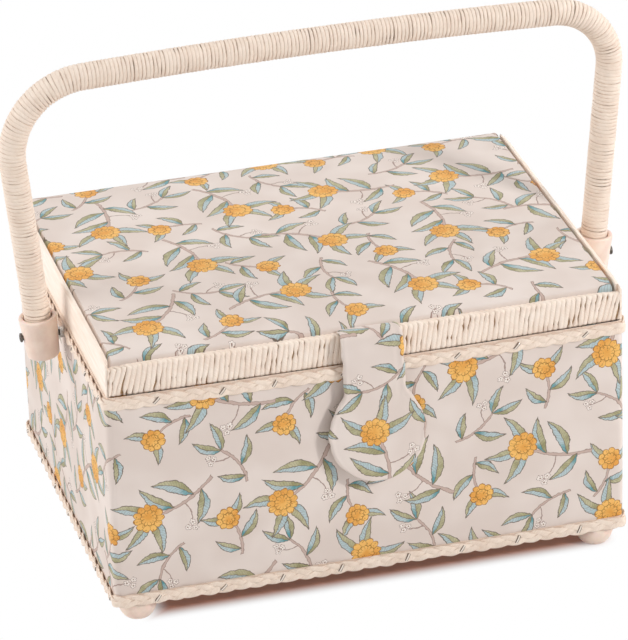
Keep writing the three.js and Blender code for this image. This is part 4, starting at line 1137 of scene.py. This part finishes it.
strip_finish = cream_strip()
STRIP_ROUND = 1.7
STRIP_CHAMFER = 0.25  # of its lower outer edge
STRIP_EASE = np.array([0.2, 0.3])  # of its upper inner edge, across and down
STRIP_DIP = np.array([1.4, 2.4])  # of its top at its front and its back end
STRIP_DIP_REACH = 14.0
STRIP_INSET = 0.4  # of its laps behind the faces of the wound rails
for side, sign in (("left", -1), ("right", 1)):
    low, high = box_of(f"lid_{side}_rail")
    outer, inner = (high[0], low[0]) if sign > 0 else (-low[0], -high[0])
    bend = np.linspace(math.pi / 2, 0, 9)
    crown = places(outer - STRIP_ROUND + STRIP_ROUND * np.cos(bend),
                   high[2] - STRIP_ROUND + STRIP_ROUND * np.sin(bend))
    outline = np.concatenate([
        [[inner, low[2]], [inner, high[2] - STRIP_EASE[1]], [inner + STRIP_EASE[0], high[2]]], crown,
        [[outer, low[2] + STRIP_CHAMFER], [outer - STRIP_CHAMFER, low[2]]]])
    run = np.linspace(0.04, STRIP_DIP_REACH, 8)
    lap = np.concatenate([
        [front_low[1] + STRIP_INSET, low[1] + 0.02], low[1] + run, high[1] - run[::-1],
        [high[1] - 0.02, back_high[1] - STRIP_INSET]])
    inside = np.full(len(lap), inner)
    inside[[0, 1, -2, -1]] = outer - STRIP_LAP
    gone = clamped(1 - np.stack([lap - front_low[1], back_high[1] - lap]) / STRIP_DIP_REACH) ** 2
    sunk = 1 - STRIP_DIP @ gone / (high[2] - low[2])
    strip = places(sign * np.maximum(outline[:, 0], inside[:, None]), lap[:, None],
                   low[2] + (outline[:, 1] - low[2]) * sunk[:, None])
    piece = add_piece(f"cream_strip_{side}", capped(strip), strip_finish, around=True)
    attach(piece, "lid")
    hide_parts(f"lid_{side}_rail")


# Padded lid top: a sheet of foam on the lid board, with the printed cotton drawn over it, tucked down
# beside the front rail and the strips, and carried on over the back rail.
top_low, top_high = box_of("lid_foam", "lid_top_fabric")
lid_top = front_high[2]
TOP_CROWN = 2.4
TOP_DIP = (2.0, 0.7)  # of the padding at the front and the back edge
TUCK_GAP = np.array([0.4, 0.1, 0.1])  # open line beside the strips, and room at the front and underneath
rail_shelf = (top_high[1] - 0.1, back_high[2] + SKIN)
lid_pad = pad_points(
    top_low + TUCK_GAP, np.array([top_high[0] - TUCK_GAP[0], back_high[1] - 0.2, 0]),
    top_high[2] - TOP_CROWN, roll=1.3, crown=TOP_CROWN, columns=110, rows=90, wrinkle=0.2,
    ledge=rail_shelf, dip=TOP_DIP)
top_flat = flat_of(lid_pad)
ahead = clamped((top_low[1] + DIP_REACH - lid_pad[..., 1]) / DIP_REACH)
lid_pad[..., 1] -= BOW_OUT * ahead * bow_share(lid_pad[..., 0])
lid_piece = add_piece("lid_cushion", lid_pad, print_cotton, top_flat, around=True)
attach(lid_piece, "lid")
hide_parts("lid_foam", "lid_top_fabric")

# Inside of the lid: a thin padded panel of ivory cotton, and a pincushion of the printed cotton gathered
# to a flat base and stitched to the panel.
panel_low, panel_high = box_of("lid_lining")
PANEL_CROWN = 0.5
OVER = np.array([1, 1, -1])  # turns the pad over, crown down
panel = OVER * pad_points(
    np.array([*panel_low[:2], -panel_high[2]]), np.array([*panel_high[:2], -panel_low[2]]),
    -panel_low[2] - PANEL_CROWN, roll=3.0, crown=PANEL_CROWN)
panel_piece = add_piece("lid_panel", panel, ivory_cotton, flat_of(panel), around=True)
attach(panel_piece, "lid")
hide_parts("lid_lining")

cushion_low, cushion_high = box_of("pincushion")
GATHERS = 34
GATHER_DEPTH = 0.035  # share of the cushion's radius
FOOT_ANGLE = math.radians(112)  # from the crown round to the edge of the flat base
tip = np.linspace(0, 1, 40)[:, None] * FOOT_ANGLE
round_about = circle(4 * GATHERS)
drop = (np.cos(tip) - math.cos(FOOT_ANGLE)) / (1 - math.cos(FOOT_ANGLE))
pleat = 1 - GATHER_DEPTH * (1 - drop) ** 1.5 * (1 + np.sin(GATHERS * round_about)) * clamped(tip * 2)
cushion_middle = (cushion_low + cushion_high)[:2] / 2
cushion_half = 0.98 * (cushion_high - cushion_low)[:2] / 2
cushion = places(cushion_middle[0] + cushion_half[0] * np.sin(tip) * pleat * np.cos(round_about),
                 cushion_middle[1] + cushion_half[1] * np.sin(tip) * pleat * np.sin(round_about),
                 cushion_high[2] - (cushion_high[2] - cushion_low[2]) * drop)
base = cushion[-1:].copy()
base[..., :2] = cushion_middle
cushion = np.concatenate([cushion, base])
cushion_piece = add_piece(
    "pincushion_dome", cushion, print_cotton, flat_of(cushion), around=True, crease=70)
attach(cushion_piece, "lid")
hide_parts("pincushion")


# Hinges: two brass butt hinges across the gap at the back, each with two leaves, a steel pin and four
# small brass screws.
def brass():
    """Lacquered brass: warm metal, brushed, with darker tarnish in spots."""
    made, shader, wire = new_finish("brass", 0.32, Metallic=1.0)
    place = object_place(wire)
    brush = place.vector("MULTIPLY", (0.4, 4.0, 4.0)).noise(1.0, 3.0)
    tarnish = place.noise(0.3, 4.0).between(0.52, 0.75)
    bright = brush.between(0.3, 0.7).tint(srgb(178, 146, 84), srgb(214, 184, 118))
    bright.over(tarnish * 0.6, srgb(134, 104, 60)).into(shader, "Base Color")
    (brush * 0.2 + tarnish * 0.15 + 0.22).into(shader, "Roughness")
    brush.bump(shader, 0.02)
    return made


brass_finish = brass()
HINGE_HEAD_TALL = 1.0
for side in ("left", "right"):
    for leaf in ("upper", "lower"):
        dress(f"hinge_{leaf}_leaf_{side}", brass_finish)
        body = "lid" if leaf == "upper" else "body"
        for end in ("outer", "inner"):
            node = f"hinge_screw_{leaf}_{side}_{end}"
            low, high = box_of(node)
            seat = ((low + high)[0] / 2, high[1] - HINGE_HEAD_TALL, (low + high)[2] / 2)
            head = pan_head((high[0] - low[0]) / 2, HINGE_HEAD_TALL, slot_half=0.25, slot_depth=0.3)
            head = stood(head, seat, (0, 1, 0), (0, 0, 1))
            piece = add_piece(f"hinge_head_{leaf}_{side}_{end}", head, brass_finish, around=True)
            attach(piece, body)
            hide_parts(node)
    dress(f"hinge_pin_{side}", bright_steel)


# Closing tab: a padded tongue of the printed cotton with an ivory back, sewn into the front edge of the
# lid. It folds over the wound rail, hangs down the front and holds by a press stud.
face_low, face_high = box_of("tab_face")
backing_low, backing_high = box_of("tab_lining")
anchor_low, anchor_high = box_of("tab_anchor")
NECK_HALF = (anchor_high[0] - anchor_low[0]) / 2
neck_x = (anchor_high[0] + anchor_low[0]) / 2
LEAN = 0.032  # to the right, for each millimetre down
DISC_HALF_WIDTH, DISC_HALF_HEIGHT = 24.5, 25.5
disc_z = face_low[2] + DISC_HALF_HEIGHT
FOLD_RADIUS = 4.6
FLARE = 3.0  # softness of the turn from the neck into the disc
# The tab comes up between the pad and the rail at the root, a little narrower and thinner there.
ROOT = np.array([front_high[1] + 0.5 - BOW_OUT, lid_top - 1.6])
ROOT_LEAN = 1.3
ROOT_NARROW, ROOT_TAPER, ROOT_THIN = 1.5, 10.0, 22.0
TIP_ROUND = 6.0  # half width under which the pad thins out towards the tip
BEAD_RISE, BEAD_INSET, BEAD_WIDTH = 0.35, 1.4, 0.8  # of the seam that is folded inside its edge
SEAM_FOLD = 3.8  # from the neck's right edge to a soft fold down it
FOLD_DEPTH, FOLD_WIDTH = 0.3, 0.9
NECK_FOOT, NECK_FADE = 15.0, 6.0  # height over the disc's middle where that fold ends, and how softly
PUCKER = 0.4  # of the edge along its seam
PRINT_START = np.array([31.0, 203.0])  # place of the tab on the printed cloth


def tab_line(front_y, top_z, foot_z):
    """The tab's path from the side: up behind the rail, forward over it, round a fold and down."""
    corners = [ROOT, (ROOT[0] - ROOT_LEAN, top_z), (front_y, top_z), (front_y, foot_z)]
    bends = eased(corners, FOLD_RADIUS, 12)
    length = run_length(bends)
    slowing = np.sin(np.linspace(0, math.pi / 2, 50)[1:])
    share = np.concatenate([np.linspace(0, 0.72, 90), 0.72 + 0.28 * slowing])
    return places(*(np.interp(share * length[-1], length, side) for side in bends.T))


def tab_half_width(z, foot_z):
    """Half the tab's width at a height: the soft maximum of a straight neck and an oval disc."""
    reach = np.where(z > disc_z, DISC_HALF_HEIGHT, disc_z - foot_z)
    oval = DISC_HALF_WIDTH * np.sqrt(clamped(1 - ((z - disc_z) / reach) ** 2))
    neck = NECK_HALF - 2 * np.maximum(disc_z - z, 0)
    return FLARE * np.logaddexp(neck / FLARE, oval / FLARE)


def tab_points(front_y, back_y, top_z, foot_z, inset, thin_root):
    """A closed tongue: at each step of its path a flattened ring, as wide as the tab and as its pad deep.

    Bell curves across the ring add the bead along its edges and the fold down its neck. Gives the points
    and their places on the flat cloth.
    """
    line = tab_line((front_y + back_y) / 2, top_z, foot_z)
    out = right_of(np.gradient(line, axis=0))
    length = run_length(line)
    root = clamped(1 - length / ROOT_TAPER) ** 2
    width = np.maximum(tab_half_width(line[:, 1], foot_z) - inset - ROOT_NARROW * root, 0)
    width[-1] = 0
    full = clamped(width / TIP_ROUND)[:, None]
    growth = clamped(length / ROOT_THIN)
    thick = (back_y - front_y) / 2 * (thin_root + (1 - thin_root) * growth * growth * (3 - 2 * growth))
    thick = thick[:, None] * full ** 0.5
    across, over = np.cos(circle(64)), np.sin(circle(64))
    deep = eased_wave(over, 0.75)
    pucker = PUCKER * np.sin(length / 1.7) * np.sin(length / 6.3 + 1)
    width = width[:, None]
    aside = width * eased_wave(across, 0.55) + pucker[:, None] * full * eased_wave(across, 8)
    on_neck = (clamped((line[:, 1] - disc_z - NECK_FOOT) / NECK_FADE) * (1 - root))[:, None]
    fold = FOLD_DEPTH * on_neck * np.exp(-((aside - NECK_HALF + SEAM_FOLD) / FOLD_WIDTH) ** 2)
    edge = np.abs(aside) - width + BEAD_INSET
    bead = BEAD_RISE * np.exp(-(edge / BEAD_WIDTH) ** 2) * full
    stand = thick * deep + (bead - fold) * (deep > 0)
    y, z = np.moveaxis(line[:, None] + out[:, None] * stand[..., None], -1, 0)
    x = (neck_x + LEAN * (lid_top - line[:, 1]))[:, None] + aside
    points = places(x, y, z)
    flat = places(x, length[:, None]) + PRINT_START
    flat = np.concatenate([flat, flat[:, :1]], axis=1)
    first = np.broadcast_to(points[0].mean(axis=0), points[:1].shape)
    return np.concatenate([first, points]), np.concatenate([flat[:1], flat])


tongue, tongue_flat = tab_points(
    face_low[1], face_high[1] + 0.3, lid_top + 0.8, face_low[2], inset=0.0, thin_root=0.34)
tab_piece = add_piece("tab_tongue", tongue, print_cotton, tongue_flat, around=True, crease=75)
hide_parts("tab_face", "tab_anchor")
backing, backing_flat = tab_points(
    backing_low[1] + 0.2, backing_high[1], lid_top + 0.2, face_low[2] + 1.0, inset=1.2, thin_root=0.4)
backing_piece = add_piece("tab_backing", backing, ivory_cotton, backing_flat, around=True, crease=75)
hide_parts("tab_lining")
for piece in (tab_piece, backing_piece):
    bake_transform(piece)

SOCKET_BORE, SOCKET_CROWN = 3.3, 4.2
STUD_NECK, STUD_BALL, STUD_TIP = 2.4, 2.7, 1.8


def socket_profile(radius, deep):
    """The press stud's socket: a domed ring round a bore."""
    return eased([(SOCKET_BORE, 0.1), (radius - 0.4, 0), (radius, deep / 2), (SOCKET_CROWN, deep),
                  (SOCKET_BORE, deep), (SOCKET_BORE, 0.1)], 0.4)


def stud_profile(radius, deep):
    """Its stud: a plate, and a neck that swells to a ball."""
    return eased([(0, 0), (radius, 0), (radius, 0.7), (STUD_NECK, 0.9), (STUD_NECK, deep - 1.6),
                  (STUD_BALL, deep - 0.9), (STUD_TIP, deep), (0, deep)], 0.3)


for node, body, facing, profile in (("snap_socket", "tab", 1, socket_profile),
                                    ("snap_stud", "body", -1, stud_profile)):
    low, high = box_of(node)
    seat = ((low + high)[0] / 2, low[1] if facing > 0 else high[1], (low + high)[2] / 2)
    cap = turned(profile((high[0] - low[0]) / 2, high[1] - low[1]))
    cap = stood(cap, seat, (0, facing, 0), (0, 0, 1))
    piece = add_piece(f"{node}_cap", cap, bright_steel, around=True)
    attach(piece, body)
    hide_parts(node)


# Handle: a bent rod wound from end to end with fine paper cord, in two tapered plastic ferrules that
# swing on the pivot screws. A slightly bowed bar, a wider bend at the left, and straight splayed legs.
wrap_low, wrap_high = box_of("handle_wrap")
screw_low, screw_high = box_of("pivot_screw_right")
pivot_y, pivot_z = (screw_low + screw_high)[1:] / 2
PIVOT_X = 143.14
LEFT_BEND, RIGHT_BEND = 38.0, 30.0
SPLAY = math.radians(5.2)
BOW = math.radians(2.3)
HANDLE_RISE = wrap_high[2] - (wrap_high[1] - wrap_low[1]) / 2 - pivot_z
WRAP_RADIUS = 6.75  # over the crests of the cord
WRAP_START = 3.0  # first turn above the pivot


def handle_half(bend):
    """One half of the line: radius of its bend and of its bar, and the lengths of bar, bend and leg.

    The leg is what the height leaves under the bend and the bar's rise, and the bar's radius follows.
    """
    spread = PIVOT_X - bend * math.cos(SPLAY)
    rise = math.tan(BOW / 2)
    height = HANDLE_RISE - bend * (1 + math.sin(SPLAY)) - rise * spread
    leg = height / (math.cos(SPLAY) + rise * math.sin(SPLAY))
    bar_radius = bend + (spread + leg * math.sin(SPLAY)) / math.sin(BOW)
    return bend, bar_radius, bar_radius * BOW, bend * (math.pi / 2 + SPLAY - BOW), leg


halves = np.array([handle_half(LEFT_BEND), handle_half(RIGHT_BEND)])


def handle_line(distance):
    """Point, outward direction and curvature at a distance from the middle of the bar.

    Each half is an arc of the bar, the tighter arc of the bend, and a straight leg.
    """
    bend, bar_radius, bar_length, bend_length, _ = halves[(distance > 0).astype(int)].T
    along = np.abs(distance)
    on_bar = np.minimum(along, bar_length) / bar_radius
    angle = on_bar + np.clip(along - bar_length, 0, bend_length) / bend
    down = np.maximum(along - bar_length - bend_length, 0)
    inner = bar_radius - bend
    x = inner * np.sin(on_bar) + bend * np.sin(angle) + down * np.cos(angle)
    z = HANDLE_RISE - bar_radius + inner * np.cos(on_bar) + bend * np.cos(angle) - down * np.sin(angle)
    side = np.where(distance < 0, -1, 1)
    curved = np.where((along > bar_length) & (down == 0), 1 / bend, 1 / bar_radius)
    return places(side * x, pivot_y, z + pivot_z), places(side * np.sin(angle), 0, np.cos(angle)), curved


# Its last number is the depth of the painted crease shade between the turns.
handle_paper = paper_cord("handle_paper", srgb(237, 215, 197), srgb(251, 235, 220), 0.42)
WRAP_PITCH = 1.92
STEPS_PER_TURN = 28
WRAP_SIDES = 8
CORD_HALF_WIDTH = 1.13
CORD_HALF_DEEP = 0.7
SLIPS_PER_TURN, SLIP = 2, 0.09  # along the handle
LUMPS_PER_TURN, LUMP = 3, 0.035  # outwards
SLITS_PER_TURN, SLIT = 7, 0.34  # where the cord may draw in from its neighbour, by this share of its width
reach_left, reach_right = halves[:, 2:].sum(axis=1) - WRAP_START
turns = round((reach_left + reach_right) / WRAP_PITCH)
step = np.arange(turns * STEPS_PER_TURN + 1)


def wavering(draws, per_turn):
    """A value at every step of the winding: straight lines through draws, so many to a turn."""
    return np.interp(step / STEPS_PER_TURN, np.arange(len(draws)) / per_turn, draws)


chance = np.random.default_rng(41)
slip = wavering(chance.normal(0, SLIP, turns * SLIPS_PER_TURN + 1), SLIPS_PER_TURN)
lump = wavering(chance.normal(0, LUMP, turns * LUMPS_PER_TURN + 1), LUMPS_PER_TURN)
drawn_in = wavering(SLIT * chance.uniform(0, 1, turns * SLITS_PER_TURN + 1) ** 3, SLITS_PER_TURN)
along = -reach_left + (reach_left + reach_right) * step / step[-1] + slip
turn = 2 * math.pi * step / STEPS_PER_TURN
point, outward, curved = handle_line(along)
sideways = np.array([0.0, 1.0, 0.0])
radial = np.cos(turn)[:, None] * outward + np.sin(turn)[:, None] * sideways
ahead = np.cross(sideways, outward)
angle = circle(WRAP_SIDES)
stand = (WRAP_RADIUS - CORD_HALF_DEEP + lump)[:, None] + CORD_HALF_DEEP * np.sin(angle)
half_wide = CORD_HALF_WIDTH * (1 + curved * WRAP_RADIUS * np.cos(turn)) * (1 - drawn_in)
aside = half_wide[:, None] * np.cos(angle)
cord = capped(point[:, None] + radial[:, None] * stand[..., None] + ahead[:, None] * aside[..., None])
cord_length = np.pad(step, 1, mode="edge") * 2 * math.pi * WRAP_RADIUS / STEPS_PER_TURN
cord_flat = places(cord_length[:, None], np.linspace(0, 1, WRAP_SIDES + 1))
wrap_piece = add_piece("handle_winding", cord, handle_paper, cord_flat, around=True)
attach(wrap_piece, "handle")
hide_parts("handle_wrap")
dress("handle_core", board_finish)

FERRULE_ABOVE, FERRULE_BELOW = 11.0, 10.8
FERRULE_TOP, FERRULE_FOOT = 9.6, 8.1
FERRULE_FLOOR = FERRULE_BELOW - 4.0  # depth of the rod's socket under the pivot
FERRULE_ROUND = 1.1
wrap_room, rod_room = WRAP_RADIUS + 0.45, 4.5
wrap_seat = WRAP_START - 0.3
cup_profile = eased([
    (0, -FERRULE_BELOW), (FERRULE_FOOT, -FERRULE_BELOW), (FERRULE_TOP, FERRULE_ABOVE),
    (wrap_room, FERRULE_ABOVE), (wrap_room, wrap_seat), (rod_room, wrap_seat),
    (rod_room, -FERRULE_FLOOR), (0, -FERRULE_FLOOR)], FERRULE_ROUND)
for side, sign in (("left", -1), ("right", 1)):
    upward = (sign * math.sin(SPLAY), 0, math.cos(SPLAY))
    cup = stood(turned(cup_profile, 64), (sign * PIVOT_X, pivot_y, pivot_z), upward)
    piece = add_piece(f"ferrule_cup_{side}", cup, peach_finish, around=True)
    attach(piece, "handle")
    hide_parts(f"ferrule_{side}")


# Camera: a long lens a little left of the front and above, as far off as the perspective of the box's
# edges asks, and rolled by a hair.
def placed(name, data, spot, right, up, back):
    """Puts a camera or a lamp at a spot, in metres, with its X to the right, its Y up and its Z back."""
    place = np.eye(4)
    place[:3, :3] = np.stack([right, up, back], axis=1)
    place[:3, 3] = spot
    made = bpy.data.objects.new(name, data)
    made.matrix_world = Matrix(place.tolist())
    bpy.context.scene.collection.objects.link(made)
    return made


AZIMUTH, ELEVATION, ROLL = (math.radians(angle) for angle in (-14.69, 26.39, -1.91))
DISTANCE = 2496.6
FOCAL_PIXELS, PICTURE_HEIGHT = 4956.7, 640
TARGET = np.array([-0.4, 2.2, 100.9])
back = np.array([math.sin(AZIMUTH) * math.cos(ELEVATION), -math.cos(AZIMUTH) * math.cos(ELEVATION),
                 math.sin(ELEVATION)])
right = unit(np.cross(-back, (0, 0, 1)))
up = np.cross(right, -back)
rolled_right = math.cos(ROLL) * right + math.sin(ROLL) * up
rolled_up = math.cos(ROLL) * up - math.sin(ROLL) * right
lens = bpy.data.cameras.new("camera")
lens.sensor_width = 36.0
lens.lens = FOCAL_PIXELS / PICTURE_HEIGHT * lens.sensor_width
lens.clip_end = 20.0
camera = placed("camera", lens, (TARGET + back * DISTANCE) * MM, rolled_right, rolled_up, back)
bpy.context.scene.camera = camera


# Studio: a white floor and surround, large soft lights at both sides, one from the right of the front
# that throws the tab's shadow, and a weak one above.
def soft_light(name, spot, size, power):
    """A square area light at a spot, turned to the middle of the box, in metres and watts."""
    lamp = bpy.data.lights.new(name, "AREA")
    lamp.size = size
    lamp.energy = power
    direction = unit(np.array([0, 0, 0.1]) - spot)
    side = unit(np.cross(direction, (0, 0, 1)))
    placed(name, lamp, spot, side, np.cross(side, direction), -direction)


soft_light("left", (-1.9, 0.4, 0.8), 1.4, 23)
soft_light("front", (1.25, -1.55, 1.3), 0.3, 24)
soft_light("right", (2.0, 0.5, 0.9), 1.2, 13)
soft_light("top", (0.1, 0.4, 2.2), 1.6, 9)


def seen_white(wire):
    """1 for what the camera sees directly, in a reflection or through glass."""
    rays = wire.node("LightPath", out="Is Camera Ray")
    seen = rays.math("MAXIMUM", rays.output("Is Glossy Ray"))
    return seen.math("MAXIMUM", rays.output("Is Transmission Ray"))


WHITE, BLACK = (1, 1, 1, 1), (0, 0, 0, 1)
SHADOW_EDGE = 12.0  # the floor's shadow starts to fade this far inside the outline of the walls
SHADOW_FADE = 12.5  # and is gone this far on
LIT_BAND = 30.0  # of floor along the left side, under its lamp


def white_floor():
    """White wherever the camera looks, but for a strip round the box that takes its shadow.

    The strip is the distance from a rectangle inside the walls. Its warm colour is painted bounce light
    from the box, and for the camera it glows a painted brown that lifts the shadow.
    """
    made, shader, wire = new_finish("white_floor", 0.9, Specular_IOR_Level=0.0, Emission_Strength=1.0)
    place = object_place(wire)
    away = place.vector("SUBTRACT", (*plan.tolist(), 0)).vector("ABSOLUTE")
    inside = (half_width - SHADOW_EDGE, half_depth - SHADOW_EDGE, 0)
    away = away.vector("SUBTRACT", inside).vector("MAXIMUM", (0, 0, 0))
    clear = away.length().between(0, SHADOW_FADE)
    # Painted light: along the left wall the floor is painted clear white, as if its lamp cast no shadow
    # there.
    left = place.xy()[0] * -1
    clear = clear.math("MAXIMUM", left.between(half_width - LIT_BAND, half_width - SHADOW_EDGE))
    # Painted bounce light: the floor turns warm brown near the box.
    clear.tint(srgb(206, 146, 124), srgb(246, 246, 246)).into(shader, "Base Color")
    seen = seen_white(wire)
    # Painted glow: a brown emission in the shadow strip, for camera rays only, that lightens the shadow.
    (seen * (1 - clear)).tint(BLACK, srgb(84, 66, 59)).into(shader, "Emission Color")
    glow = wire.node("Emission", None, {"Color": WHITE, "Strength": 1.0})
    plain = Wire(wire.tree, shader.outputs[0])
    mixed = wire.node("MixShader", None, {0: seen * clear, 1: plain, 2: glow})
    mixed.into(made.node_tree.nodes["Material Output"], "Surface")
    return made


FLOOR_HALF = 6000.0
span = np.linspace(-FLOOR_HALF, FLOOR_HALF, 3)
floor = add_piece("floor", places(span[:, None], span, 0.0), white_floor())

AMBIENT = 0.38
world = bpy.data.worlds.new("surround")
world.use_nodes = True
bpy.context.scene.world = world
sky = world.node_tree.nodes["Background"]
sky.inputs["Color"].default_value = WHITE
(seen_white(Wire(world.node_tree)) * (1 - AMBIENT) + AMBIENT).into(sky, "Strength")

bpy.context.scene.view_settings.view_transform = "Standard"
